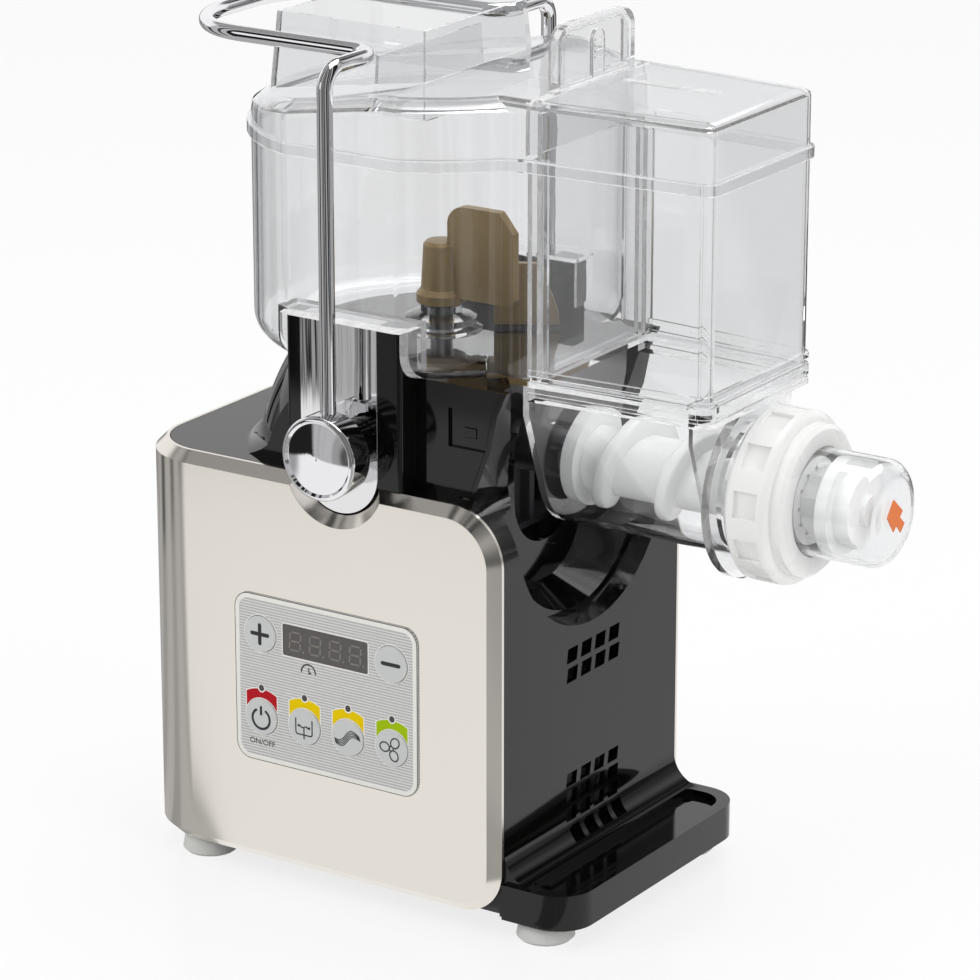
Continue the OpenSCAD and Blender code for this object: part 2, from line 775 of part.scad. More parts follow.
// Quarter bend of the wire: starts at the origin along +Z and bends towards +X.
module wire_bend(r, turn = 90) {
  translate([r, 0, 0]) rotate([90, 0, 0]) translate([0, 0, 0]) rotate([0, 0, 180 - turn])
    rotate_extrude(angle = turn) translate([r, 0]) circle(r = wire_r);
}

// Bent chrome wire: two upright legs joined by a loop over the back of the bowl.
module bail_wire() {
  bend = 10;
  inner_y = 52;
  loop_r = 40;
  placed() color("silver") {
    both_sides() {
      bar_z(pivot_z + 9, wire_top - bend, wire_r, 0, -wire_y);
      translate([0, -wire_y, wire_top - bend]) rotate([0, 0, 90]) wire_bend(bend);
      bar_y(-wire_y + bend, -inner_y - bend, wire_r, 0, wire_top);
      translate([-bend, -inner_y - bend, wire_top]) rotate_extrude(angle = 90)
        translate([bend, 0]) circle(r = wire_r);
      bar_x(-wire_rear + loop_r, -bend, wire_r, -inner_y, wire_top);
      translate([-wire_rear + loop_r, -inner_y + loop_r, wire_top]) rotate([0, 0, 180])
        rotate_extrude(angle = 90) translate([loop_r, 0]) circle(r = wire_r);
    }
    bar_y(loop_r - inner_y, inner_y - loop_r, wire_r, -wire_rear, wire_top);
  }
}

// ---------------------------------------------------------------- bowl, gate and lid

// Front end of the feed chamber in plan, smaller by inset.
module chamber_plan(inset) {
  half = chamber_half_w - inset;
  tip = half - chamber_taper;
  front = chamber_front - inset;
  r = max(chamber_corner - inset, 0.6);
  difference() {
    polygon([[0, -half], [chamber_x, -half], [front, -tip], [front, tip], [chamber_x, half],
             [0, half]]);
    corner_waste(front, -tip, r, 90);
    corner_waste(front, tip, r, 180);
  }
}

// Round bowl end in plan with its flattened sides.
module round_plan(inset) {
  intersection() {
    circle(r = bowl_r - inset);
    square([200, 2 * (bowl_half_w - inset)], center = true);
  }
}

// Hollow blend between the round bowl and the straight chamber side.
module blend_plan(inset) {
  reach = bowl_r + blend_r;
  side = chamber_half_w + blend_r;
  cx = sqrt(reach * reach - side * side);
  shrink = (bowl_r - inset - 0.4) / reach;
  for (flip = [0, 1]) mirror([0, flip]) difference() {
    polygon([[cx * shrink, -side * shrink], [cx, -chamber_half_w + inset + 0.4], [cx, -20],
             [40, -20]]);
    translate([cx, -side]) circle(r = blend_r + inset);
  }
}

// Whole plan of bowl and chamber.
module bowl_plan(inset) {
  round_plan(inset);
  chamber_plan(inset);
  blend_plan(inset);
}

// Round lower part of the bowl with its rounded bottom edge.
module bowl_cup(inset, low) {
  r = bowl_r - inset;
  f = bowl_round - inset;
  intersection() {
    rotate_extrude() {
      translate([0, low]) square([r - f, rim_z - low]);
      translate([0, low + f]) square([r, rim_z - low - f + (inset > 0 ? 1 : 0)]);
      translate([r - f, low + f]) intersection() {
        circle(r = f);
        translate([0, -f]) square([f, f]);
      }
    }
    block([-200, -bowl_half_w + inset, 0], [200, bowl_half_w - inset, 600]);
  }
}

// Bowl and chamber as one solid, smaller by inset.
module bowl_solid(inset, low) {
  bowl_cup(inset, low);
  translate([0, 0, low]) linear_extrude(height = rim_z - low + (inset > 0 ? 1 : 0)) {
    chamber_plan(inset);
    blend_plan(inset);
  }
}

module kneading_bowl() {
  placed() color([0.8, 0.88, 0.95, 0.35]) difference() {
    union() {
      difference() {
        bowl_solid(0, seat_z);
        difference() {
          bowl_solid(clear_wall, bowl_floor);
          both_sides() block([pocket_x0 - clear_wall, -100, 0],
                             [pocket_x1 + clear_wall, -pocket_y + clear_wall, pocket_top + clear_wall]);
        }
      }
      intersection() {
        bowl_solid(0.5, seat_z);
        union() {
          for (side = [-1, 1]) {
            block([gate_x - 2.5, side > 0 ? 41 : -100, seat_z],
                  [gate_x - fit_gap, side > 0 ? 100 : -41, rim_z]);
            block([gate_x + gate_t + fit_gap, side > 0 ? 41 : -100, seat_z],
                  [gate_x + gate_t + 2.5, side > 0 ? 100 : -41, rim_z]);
          }
        }
      }
      for (low = [seat_z, seat_z + 5.2]) translate([0, 0, low]) linear_extrude(height = 2.6)
        intersection() {
          difference() { chamber_plan(-1.6); chamber_plan(1); }
          translate([foot_rim_x, -100]) square([200, 200]);
        }
      rotate_extrude() polygon([[0, seat_z + 1], [19.5, seat_z + 1], [19.5, seat_z + 4.5],
                                [16.5, seat_z + 6], [16.5, seat_z + 9], [13, seat_z + 10.5],
                                [9.5, seat_z + 11], [9.5, seat_z + 14], [0, seat_z + 14]]);
    }
    both_sides() block([pocket_x0, -100, 0], [pocket_x1, -pocket_y, pocket_top]);
    translate([0, 0, seat_z - 1]) cylinder(h = 20, r = spindle_r + run_gap);
    block([86, -trough_half_w + trough_wall, seat_z - 1],
          [trough_front - 4, trough_half_w - trough_wall, bowl_floor + 1]);
  }
}

// Blocks that step in towards the top and together make the shoulder of the lid.
module bowl_steps(inset, foot) {
  for (cut = [0, 0.3, 1]) {
    rise = lid_top - inset - lid_round * (1 - cut) * (1 - cut);
    translate([0, 0, foot]) linear_extrude(height = rise - foot)
      round_plan(inset + lid_round * cut * cut);
  }
}

// The same over the feed chamber.
module chamber_steps(inset, foot) {
  for (cut = [0, 0.3, 1]) {
    rise = lid_top - inset - lid_edge * (1 - cut) * (1 - cut);
    translate([0, 0, foot]) linear_extrude(height = rise - foot)
      lid_front_plan(inset + lid_edge * cut * cut);
  }
}

// Upright walls of the lid with a shoulder all round and a slope behind the hopper.
module lid_solid(inset) {
  foot = rim_z - (inset > 0 ? 3 : 0);
  slope = (lid_top - lid_rear_top) / 84;
  intersection() {
    hull() bowl_steps(inset, foot);
    hull() multmatrix([[1, 0, 0, 0], [0, 1, 0, 0], [slope, 0, 1, -22 * slope], [0, 0, 0, 1]])
      bowl_steps(inset, foot - 30);
  }
  hull() chamber_steps(inset, foot);
  translate([0, 0, foot]) linear_extrude(height = lid_top - inset - lid_round / 2 - foot)
    blend_plan(inset);
}

// Plan of the lid over the feed chamber.
module lid_front_plan(inset) {
  intersection() {
    chamber_plan(inset);
    translate([44, -100]) square([200, 200]);
  }
}

// Tapered box of the pouring hopper.
module hopper_solid(inset, low, high) {
  intersection() {
    side_view(-60, 60) polygon([[-63 + inset, low], [22 - inset, low], [19.7 - inset, high],
                                [-61 + inset, high]]);
    front_view(-80, 60) polygon([[-45 + inset, low], [45 - inset, low], [41 - inset, high],
                                 [-41 + inset, high]]);
  }
}

module bowl_lid() {
  placed() color([0.8, 0.88, 0.95, 0.35]) difference() {
    union() {
      difference() {
        lid_solid(0);
        lid_solid(clear_wall - 0.2);
      }
      block([gate_x - 3.5, -chamber_half_w + 1.2, rim_z + 2],
            [gate_x - 1.5, chamber_half_w - 1.2, lid_top - 1]);
      hopper_solid(0, lid_rear_top - 4, hopper_top);
      difference() {
        translate([0, 0, rim_z - 4.5]) linear_extrude(height = 5.5) bowl_plan(-2);
        translate([0, 0, rim_z - 5]) linear_extrude(height = 5) bowl_plan(-fit_gap);
        translate([0, 0, rim_z - eps]) linear_extrude(height = 5) bowl_plan(clear_wall);
      }
    }
    difference() {
      hopper_solid(2, lid_rear_top - 5, hopper_top + 1);
      block([-7, -60, lid_rear_top - 2], [-5.4, 60, hopper_top - 14]);
    }
    block([gate_x - fit_gap, -44.5, rim_z + 1], [gate_x + gate_t + fit_gap, 44.5, lid_top + 10]);
    block([92, 7.4, lid_top - 10], [140, 12.6, lid_top + 10]);
  }
}

module gate_plate() {
  x1 = gate_x + gate_t;
  foot = lid_top + fit_gap;
  placed() color([0.8, 0.88, 0.95, 0.4]) {
    block([gate_x, -44, bowl_floor], [x1, 44, lid_top - 6]);
    front_view(gate_x, x1) round_rect(-31, lid_top - 7, 31, gate_top, [0, 0, 9, 9]);
    difference() {
      front_view(gate_x - 3.2, x1 + 1) round_rect(-31, foot, 31, gate_top, [0, 0, 9, 9]);
      front_view(gate_x, x1 + 2) round_rect(-27.5, foot + 3, 27.5, gate_top - 3, [1, 1, 6, 6]);
      front_view(gate_x - 4, x1) round_rect(-27.5, foot + 3, 27.5, gate_top - 3, [1, 1, 6, 6]);
    }
    front_view(x1 - eps, x1 + 1.6)
      round_rect(-5, foot + 2, 5, gate_top - 5, [0, 0, 5, 5]);
    for (i = [0:3]) block([x1 + 1.5, -4, gate_top - 18 + 2.6 * i],
                          [x1 + 2.3, 4, gate_top - 17 + 2.6 * i]);
  }
}

// ---------------------------------------------------------------- kneading drive

module spindle() {
  placed() color("lightgray") {
    bar_z(frame_top - 11, seat_z + 38, spindle_r);
    bar_z(gear_z + gear_h, gear_z + gear_h + 0.5, spindle_r + 3);
  }
}

module spindle_bush() {
  placed() color([0.75, 0.65, 0.4]) difference() {
    union() {
      bar_z(seat_z - 8, seat_z - 0.2, bush_r);
      bar_z(seat_z - 8, seat_z - skin, bush_r + 3);
    }
    bar_z(seat_z - 20, seat_z + 1, spindle_r + run_gap);
  }
}

module paddle() {
  low = seat_z + 15.5;
  placed() color([0.52, 0.43, 0.29]) difference() {
    union() {
      rotate_extrude() polygon([[0, low], [hub_r + 2.2, low], [hub_r + 2.2, low + 4],
                                [hub_r + 0.9, low + 5.5], [hub_r + 0.1, low + 6.5],
                                [hub_r - 1, low + 27], [hub_r - 2.4, low + 28.6],
                                [0, low + 29]]);
      side_view(-2.6, 2.6) difference() {
        union() {
          round_rect(5, low + 3, blade_reach - 1.6, blade_top, [0, 4, 0, 9]);
          round_rect(0, low + 6, 20, blade_top - 22, [0, 0, 0, 0]);
        }
        polygon([[blade_reach - 11, blade_top + 1], [blade_reach, blade_top + 1],
                 [blade_reach, blade_top - 11]]);
      }
      rotate([0, 0, wing_turn]) side_view(-2, 2)
        polygon([[6, low + 1], [wing_root, low + 1], [wing_root, seat_z + 4.5],
                 [wing_reach, seat_z + 4.5], [wing_reach - 0.5, seat_z + 10],
                 [wing_reach - 8, low + 16], [wing_reach - 11, low + 18], [6, low + 18]]);
    }
    bar_z(low - 1, seat_z + 38.3, spindle_r + 0.1);
  }
}

// Involute point at unroll angle a on a base circle of radius base.
function unroll(base, a) = [base * (cos(a) + a * PI / 180 * sin(a)),
                            base * (sin(a) - a * PI / 180 * cos(a))];
// Unroll angle at which an involute reaches radius r.
function reach_angle(base, r) = r <= base ? 0 : sqrt(r * r / (base * base) - 1) * 180 / PI;
// Polar angle of an involute at radius r.
function swing(base, r) = let (p = unroll(base, reach_angle(base, r))) atan2(p[1], p[0]);
// Point at radius r and angle a.
function polar(r, a) = [r * cos(a), r * sin(a)];

// Spur gear outline with involute flanks and some backlash.
module gear_plan(teeth, size, press = 25, thin = 0.46) {
  pitch_r = teeth * size / 2;
  base = pitch_r * cos(press);
  tip = pitch_r + 0.8 * size;
  root = pitch_r - 1.1 * size;
  half = 180 * thin / teeth + swing(base, pitch_r);
  step = 360 / teeth;
  low = max(root, base);
  first = root < base ? 0 : 1;
  foot = half - swing(base, low);
  flank = [for (i = [0:4]) let (r = low + (tip - low) * i / 4) [r, half - swing(base, r)]];
  polygon([for (k = [0:teeth - 1]) each concat(
    [polar(root, k * step - foot)],
    [for (i = [first:4]) polar(flank[i][0], k * step - flank[i][1])],
    [for (i = [4:-1:first]) polar(flank[i][0], k * step + flank[i][1])],
    [polar(root, k * step + foot)])]);
}

module drive_gear() {
  placed() color([0.93, 0.92, 0.86]) difference() {
    union() {
      bar_z(gear_z, gear_z + gear_h, 8);
      translate([0, 0, gear_z]) linear_extrude(height = gear_h) gear_plan(gear_teeth, tooth_module);
    }
    bar_z(gear_z - 1, gear_z + gear_h + 1, spindle_r + 0.1);
    for (a = [0:60:300]) rotate([0, 0, a]) bar_z(gear_z - 1, gear_z + gear_h + 1, 5, 18);
  }
}

// Straight bevel gear whose teeth run to a common point above it.
module bevel_wheel(turn) {
  linear_extrude(height = bevel_h, scale = (bevel_r - bevel_h) / bevel_r)
    rotate(turn) gear_plan(bevel_teeth, 2 * bevel_r / bevel_teeth, 25, 0.44);
}

module spindle_bevel() {
  placed() color([0.93, 0.92, 0.86]) difference() {
    union() {
      translate([0, 0, auger_z - bevel_r]) bevel_wheel(0);
      bar_z(gear_z + gear_h + 0.5, auger_z - bevel_r, 10);
    }
    bar_z(gear_z, auger_z, spindle_r + 0.1);
  }
}

module auger_bevel() {
  placed() color([0.93, 0.92, 0.86]) translate([0, 0, auger_z]) difference() {
    union() {
      translate([bevel_r, 0, 0]) rotate([0, -90, 0]) bevel_wheel(180 / bevel_teeth);
      bar_x(bevel_r, bevel_r + 6, 10);
    }
    bar_x(bevel_r - bevel_h - 1, bevel_r + 10, shaft_r + 0.1);
  }
}

module auger_coupling() {
  placed() color("gray") translate([0, 0, auger_z]) difference() {
    union() {
      bar_x(bevel_r - bevel_h + 1, 44, shaft_r);
      bar_x(41, trough_rear - 2, 12);
      bar_x(39.5, 42, 8);
    }
    bar_x(46, trough_rear, stub_r + 0.1);
    for (a = [0:60:300]) rotate([a, 0, 0]) block([trough_rear - 7, -1.5, 8], [trough_rear, 1.5, 14]);
  }
}

// ---------------------------------------------------------------- extruder

// Front view of the trough: sloping sides that run into a round bottom, smaller by inset.
module trough_view(inset) {
  r = trough_r - inset;
  half = trough_half_w - inset;
  rise = trough_rise - auger_z;
  turn = atan2(rise, half) - acos(r / norm([half, rise]));
  top = flange_top - auger_z + (inset > 0 ? 1 : 0);
  translate([0, auger_z]) {
    circle(r = r);
    polygon([polar(r, turn), [half, rise], [half, top], [-half, top], [-half, rise],
             polar(r, 180 - turn)]);
  }
}

module extruder_barrel() {
  placed() color([0.8, 0.88, 0.95, 0.35]) difference() {
    union() {
      front_view(trough_rear, trough_front) trough_view(0);
      block([trough_rear, -trough_half_w, flange_top - 4],
            [trough_front, trough_half_w, flange_top]);
      for (low = [flange_top - 6.6, flange_top - 2.4]) translate([0, 0, low])
        linear_extrude(height = 2.4) intersection() {
          chamber_plan(-1.6);
          translate([foot_rim_x, -100]) square([200, 200]);
        }
      translate([0, 0, flange_top - 5]) linear_extrude(height = 4) intersection() {
        chamber_plan(-0.2);
        translate([foot_rim_x, -100]) square([200, 200]);
      }
      bar_x(trough_front - 1, thread_end, mouth_r + 3, 0, auger_z);
      bar_x(collar_x, collar_x + 4.5, nut_r + 1, 0, auger_z);
      for (i = [0:2]) bar_x(nut_rear - 3 + 4 * i, nut_rear - 1.5 + 4 * i, mouth_r + 4, 0, auger_z);
    }
    difference() {
      front_view(trough_rear + trough_wall, trough_front - 3) trough_view(trough_wall);
      bar_x(trough_rear, trough_rear + 6, 14, 0, auger_z);
    }
    bar_x(trough_rear - 1, trough_rear + 7, stub_r + run_gap, 0, auger_z);
    bar_x(trough_front - 5, thread_end + 1, mouth_r, 0, auger_z);
  }
}

// White screw: a core with a thick flight wound round it, between a rear disc and a nose.
module auger() {
  disc_x = trough_rear + 6.4;
  start = disc_x + 4;
  run = 72;
  placed() color("white") translate([0, 0, auger_z]) {
    bar_x(47, disc_x + 1, stub_r);
    bar_x(disc_x, disc_x + 6.5, flight_r);
    bar_x(disc_x + 6, start + run, core_r);
    translate([start + run - eps, 0, 0]) rotate([0, 90, 0])
      cylinder(h = 20, r1 = core_r, r2 = core_r - 6);
    translate([start, 0, 0]) rotate([90, 0, 90])
      linear_extrude(height = run, twist = 360 * run / flight_pitch, slices = 90, $fn = 16)
        flight_plan();
  }
}

// Cross section of the flight: a thick lobe with rounded shoulders.
module flight_plan() {
  n = 8;
  polygon(concat(
    [for (i = [0:n]) polar(flight_r - 1.2 * pow(abs(2 * i / n - 1), 4), flight_width * (i / n - 0.5) * 0.7)],
    [for (i = [n:-1:0]) polar(core_r - 1.5, flight_width * (i / n - 0.5))]));
}

module ring_nut() {
  bore = mouth_r + 4.4;
  ring_end = thread_end + 12.5;
  lip_end = thread_end + 19;
  placed() color([0.92, 0.93, 0.93]) translate([0, 0, auger_z]) difference() {
    rotate([0, 90, 0]) rotate_extrude() polygon([
      [bore, nut_rear], [nut_r - 2, nut_rear], [nut_r, nut_rear + 2], [nut_r, ring_end - 4.5],
      [nut_r - 0.6, ring_end - 2.4], [nut_r - 2.2, ring_end - 0.7], [nut_r - 4, ring_end],
      [nut_r - 5, ring_end], [nut_r - 5, lip_end - 2], [nut_r - 7, lip_end],
      [cap_r + 0.5, lip_end], [cap_r + 0.5, thread_end + cap_flange],
      [bore, thread_end + cap_flange]]);
    for (i = [0:nut_grips - 1]) rotate([(i + 0.5) * 360 / nut_grips, 0, 0])
      block([nut_rear + 4.5, -6, nut_r - 2.2], [ring_end - 4, 6, nut_r + 4]);
  }
}

module die_disc() {
  placed() color("white") translate([0, 0, auger_z]) difference() {
    union() {
      bar_x(thread_end, thread_end + disc_t, mouth_r + 3);
      bar_x(thread_end, thread_end + 17, cap_r - 4.5);
    }
    bar_x(thread_end - 1, thread_end + 14, cap_r - 7.5);
    for (a = [0:30:330]) rotate([a, 0, 0]) bar_x(thread_end, thread_end + 20, 1.1, 0, 15);
  }
}

module die_holder() {
  cap_bore = cap_r - 2.2;
  placed() color("white") translate([thread_end + 17, 0, auger_z]) rotate([0, 90, 0]) {
    rotate([0, 0, 22.5]) cylinder(h = 12, r = 15, $fn = 8);
    translate([0, 0, 11]) cylinder(h = 6, r = cap_bore - 0.5);
    translate([0, 0, 16]) cylinder(h = 9, r = 16.5);
    translate([0, 0, 24]) cylinder(h = 4, r = 7);
  }
}

module die_cap() {
  placed() color([0.8, 0.88, 0.95, 0.35]) translate([0, 0, auger_z]) rotate([0, 90, 0])
    rotate_extrude() difference() {
      union() {
        translate([0, thread_end + disc_t]) square([mouth_r + 3.5, 3.5]);
        translate([0, thread_end + disc_t]) square([cap_r, cap_end - thread_end - disc_t - 8]);
        translate([0, cap_end - 8.1]) square([cap_r - 8, 8.1]);
        intersection() {
          translate([cap_r - 8, cap_end - 8]) circle(r = 8);
          translate([0, cap_end - 8.1]) square([40, 8.1]);
        }
      }
      translate([-1, thread_end]) square([cap_r - 2.2 + 1, cap_end - thread_end - 8]);
      translate([-1, thread_end]) square([cap_r - 8 + 1, cap_end - thread_end - 2.2]);
      translate([cap_r - 8, cap_end - 8]) circle(r = 5.8);
    }
}

module cap_arrow() {
  placed() color([0.95, 0.4, 0.15]) translate([0, 0, auger_z])
    front_view(cap_end, cap_end + arrow_t)
      polygon([[-7, 1], [-1, -7], [1.5, -4.6], [5.5, -9], [9, -5.6], [4.6, -1.6], [7, 0.8], [-1.5, 8]]);
}

// ---------------------------------------------------------------- motor and blower

module gear_frame() {
  placed() color([0.3, 0.3, 0.32]) difference() {
    union() {
      block([motor_x - 34, -34, frame_top - 3], [44, 34, frame_top]);
      bar_z(frame_top - 11, frame_top, 9.4);
      for (x = [motor_x - 29, 38]) for (side = [-1, 1])
        bar_z(base_top, frame_top - 2, 5, x, side * 29);
      block([gear_r + 3.5, -13, frame_top - 1], [gear_r + 9, 13, auger_z + 10]);
      for (side = [-1, 1])
        block([gear_r + 3.5, side * 9 - 2, frame_top - 1], [44, side * 9 + 2, auger_z - 12]);
    }
    bar_z(frame_top - 12, frame_top + 5, spindle_r + run_gap);
    bar_z(frame_top - 12, frame_top + 1, 9, motor_x);
    bar_x(gear_r, gear_r + 12, shaft_r + run_gap, 0, auger_z);
  }
}

module motor_body() {
  placed() color([0.45, 0.45, 0.48]) translate([motor_x, 0, 0]) difference() {
    union() {
      bar_z(92, frame_top - 3, motor_r);
      bar_z(84, 93, 9);
    }
    bar_z(80, frame_top, 3 + run_gap);
    for (a = [0:30:330]) rotate([0, 0, a]) block([motor_r - 2, -3, 100], [motor_r + 2, 3, 158]);
  }
}

module motor_rotor() {
  placed() color("gray") translate([motor_x, 0, 0]) {
    bar_z(66, gear_z + gear_h + 1, 3);
    translate([0, 0, gear_z - 0.5]) linear_extrude(height = gear_h + 1)
      rotate(180 / pinion_teeth) gear_plan(pinion_teeth, tooth_module);
  }
}

module motor_fan() {
  placed() color([0.2, 0.2, 0.2]) translate([motor_x, 0, 0]) difference() {
    union() {
      bar_z(72, 82, 7);
      bar_z(72, 73.5, 22);
      for (a = [0:45:315]) rotate([0, 0, a]) block([6, -0.8, 73], [22, 0.8, 82]);
    }
    bar_z(70, 84, 3.1);
  }
}

module blower_frame() {
  z = 50;
  placed() color([0.15, 0.15, 0.15]) difference() {
    union() {
      difference() {
        block([58, -23, z - 23], [74, 23, z + 23]);
        bar_x(57, 75, 21, 0, z);
      }
      bar_x(58, 64, 8, 0, z);
      for (a = [0:90:270]) translate([0, 0, z]) rotate([a + 45, 0, 0])
        block([58, -1.5, 6], [60, 1.5, 24]);
      block([58, -23, base_top], [74, -19, z - 22]);
      block([58, 19, base_top], [74, 23, z - 22]);
    }
    bar_x(57, 70, 2 + run_gap, 0, z);
  }
}

module blower_fan() {
  z = 50;
  placed() color([0.25, 0.25, 0.25]) translate([0, 0, z]) {
    bar_x(59, 66, 2);
    difference() {
      bar_x(64.5, 72.5, 8.5);
      bar_x(62, 67, 8.2 - 2);
    }
    for (a = [0:360 / 7:359]) rotate([a, 0, 0]) translate([68.5, 0, 7]) rotate([0, 0, 35])
      block([-0.7, -4.5, 0], [0.7, 4.5, 11.5]);
    bar_x(65.5, 67.5, 6.5);
  }
}

// ---------------------------------------------------------------- assembly

side_shell();
front_housing();
top_cover();
base_plate();
rubber_feet();
base_screws();
near_inlay();
far_inlay();
cord_gland();
control_overlay();
display_lens();
digit_module();
led_lights();
circuit_board();
board_frame();
key_plus();
key_minus();
key_power();
key_knead();
key_extrude();
key_blow();
latch_button();
safety_switch();
pivot_posts();
bail_wire();
near_knob();
far_knob();
kneading_bowl();
bowl_lid();
gate_plate();
spindle();
spindle_bush();
paddle();
drive_gear();
spindle_bevel();
extruder_barrel();
auger();
auger_coupling();
auger_bevel();
ring_nut();
die_disc();
die_holder();
die_cap();
cap_arrow();
gear_frame();
motor_body();
motor_rotor();
motor_fan();
blower_frame();
blower_fan();
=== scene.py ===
"""Studio scene of an electric pasta maker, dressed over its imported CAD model."""

from __future__ import annotations

import json
import logging
import math
from dataclasses import dataclass, field
from enum import Enum

import bmesh
import bpy
from mathutils import Matrix, Vector

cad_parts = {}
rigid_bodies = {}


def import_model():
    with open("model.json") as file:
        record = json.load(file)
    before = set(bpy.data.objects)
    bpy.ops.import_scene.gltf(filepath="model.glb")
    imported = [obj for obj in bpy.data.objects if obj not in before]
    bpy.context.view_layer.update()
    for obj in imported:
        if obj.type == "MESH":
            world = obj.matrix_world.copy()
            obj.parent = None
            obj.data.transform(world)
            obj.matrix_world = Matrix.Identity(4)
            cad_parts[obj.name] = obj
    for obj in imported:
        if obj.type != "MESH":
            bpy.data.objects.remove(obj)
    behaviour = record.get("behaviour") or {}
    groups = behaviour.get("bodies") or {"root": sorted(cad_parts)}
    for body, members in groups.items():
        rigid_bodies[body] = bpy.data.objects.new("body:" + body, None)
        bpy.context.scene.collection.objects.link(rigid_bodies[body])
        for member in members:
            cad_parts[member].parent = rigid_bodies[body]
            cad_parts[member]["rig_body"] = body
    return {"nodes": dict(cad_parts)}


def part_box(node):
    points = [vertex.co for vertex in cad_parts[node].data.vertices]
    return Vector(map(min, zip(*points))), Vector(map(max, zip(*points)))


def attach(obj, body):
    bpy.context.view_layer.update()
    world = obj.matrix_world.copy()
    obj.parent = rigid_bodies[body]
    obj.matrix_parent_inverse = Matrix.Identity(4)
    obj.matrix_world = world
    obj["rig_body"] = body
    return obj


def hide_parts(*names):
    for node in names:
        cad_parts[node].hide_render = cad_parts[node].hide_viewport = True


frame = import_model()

Socket = bpy.types.NodeSocket
Tree = bpy.types.NodeTree
Mesh = bmesh.types.BMesh
Spot = tuple[float, float]
Triple = tuple[float, float, float]

MM = 0.001
LOG = logging.getLogger("pasta_maker")
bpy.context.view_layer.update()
MERGE_DIST = 2e-6
FLAT_DEG = 0.6
SHARP_DEG = 32.0
BEVEL_STEPS = 2
NORMAL_WEIGHT = 90


# ------------------------------------------------------------------ node helpers


def feed(tree: Tree, socket: Socket, term: Socket | float) -> None:
    """Links an input socket to a term, or sets it to a constant.

    Args:
        tree: Node tree of both.
        socket: Input socket.
        term: Output socket, number or vector.
    """
    if isinstance(term, Socket):
        tree.links.new(term, socket)
    else:
        socket.default_value = term


def set_inputs(node: bpy.types.Node, values: dict[str, float | tuple[float, ...]]) -> None:
    """Sets constants on the inputs of a node.

    Args:
        node: The node.
        values: Value of each input by name.
    """
    for label, value in values.items():
        node.inputs[label].default_value = value


def math_node(tree: Tree, operation: str, *terms: Socket | float, clamp: bool = False) -> Socket:
    """Adds a calculation with numbers.

    Args:
        tree: Node tree to add to.
        operation: Blender's name of the operation.
        terms: Its inputs in order.
        clamp: Whether the result is kept between 0 and 1.

    Returns:
        The output socket.
    """
    node = tree.nodes.new("ShaderNodeMath")
    node.operation = operation
    node.use_clamp = clamp
    for socket, term in zip(node.inputs, terms):
        feed(tree, socket, term)
    return node.outputs["Value"]


def vector_node(tree: Tree, operation: str, *terms: Socket | tuple[float, ...]) -> Socket:
    """Adds a calculation with vectors.

    Args:
        tree: Node tree to add to.
        operation: Blender's name of the operation.
        terms: Its inputs in order.

    Returns:
        The output socket.
    """
    node = tree.nodes.new("ShaderNodeVectorMath")
    node.operation = operation
    for socket, term in zip(node.inputs, terms):
        feed(tree, socket, term)
    return node.outputs["Value" if operation == "DOT_PRODUCT" else "Vector"]


def noise_node(tree: Tree, place: Socket, scale: Socket | float, detail: float) -> Socket:
    """Adds a noise texture.

    Args:
        tree: Node tree to add to.
        place: Coordinates.
        scale: Scale of the noise.
        detail: Number of finer layers.

    Returns:
        The output socket.
    """
    node = tree.nodes.new("ShaderNodeTexNoise")
    feed(tree, node.inputs["Scale"], scale)
    node.inputs["Detail"].default_value = detail
    tree.links.new(place, node.inputs["Vector"])
    return node.outputs["Fac"]


def ramp_node(tree: Tree, value: Socket, span: tuple[float, float],
              result: tuple[float, float] = (0.0, 1.0)) -> Socket:
    """Adds a smooth ramp from one value to another.

    Args:
        tree: Node tree to add to.
        value: What the ramp follows.
        span: Where the ramp starts and ends.
        result: Its values there.

    Returns:
        The output socket.
    """
    ramp = tree.nodes.new("ShaderNodeMapRange")
    ramp.interpolation_type = "SMOOTHSTEP"
    ramp.inputs["From Min"].default_value, ramp.inputs["From Max"].default_value = span
    ramp.inputs["To Min"].default_value, ramp.inputs["To Max"].default_value = result
    tree.links.new(value, ramp.inputs["Value"])
    return ramp.outputs["Result"]


def mix_shaders(tree: Tree, share: Socket, first: Socket, second: Socket) -> Socket:
    """Adds a mix of two shaders.

    Args:
        tree: Node tree to add to.
        share: Share of the second shader.
        first: Shader where the share is 0.
        second: Shader where the share is 1.

    Returns:
        The output socket.
    """
    node = tree.nodes.new("ShaderNodeMixShader")
    for socket, source in zip(node.inputs, (share, first, second)):
        tree.links.new(source, socket)
    return node.outputs["Shader"]


# ------------------------------------------------------------------ node groups


def start_group(name: str, kind: str, inputs: dict[str, float | tuple[float, ...]],
                outputs: tuple[str, ...]) -> tuple[Tree, bpy.types.Node, bpy.types.Node]:
    """Makes an empty node group with its sockets.

    Args:
        name: Name of the group.
        kind: Type of all its sockets, Float or Color.
        inputs: Name and preset of each input.
        outputs: Names of the outputs.

    Returns:
        The group, its input node and its output node.
    """
    group = bpy.data.node_groups.new(name, "ShaderNodeTree")
    for label, value in inputs.items():
        socket = group.interface.new_socket(label, in_out="INPUT", socket_type="NodeSocket" + kind)
        socket.default_value = value
    for label in outputs:
        group.interface.new_socket(label, in_out="OUTPUT", socket_type="NodeSocket" + kind)
    return group, group.nodes.new("NodeGroupInput"), group.nodes.new("NodeGroupOutput")


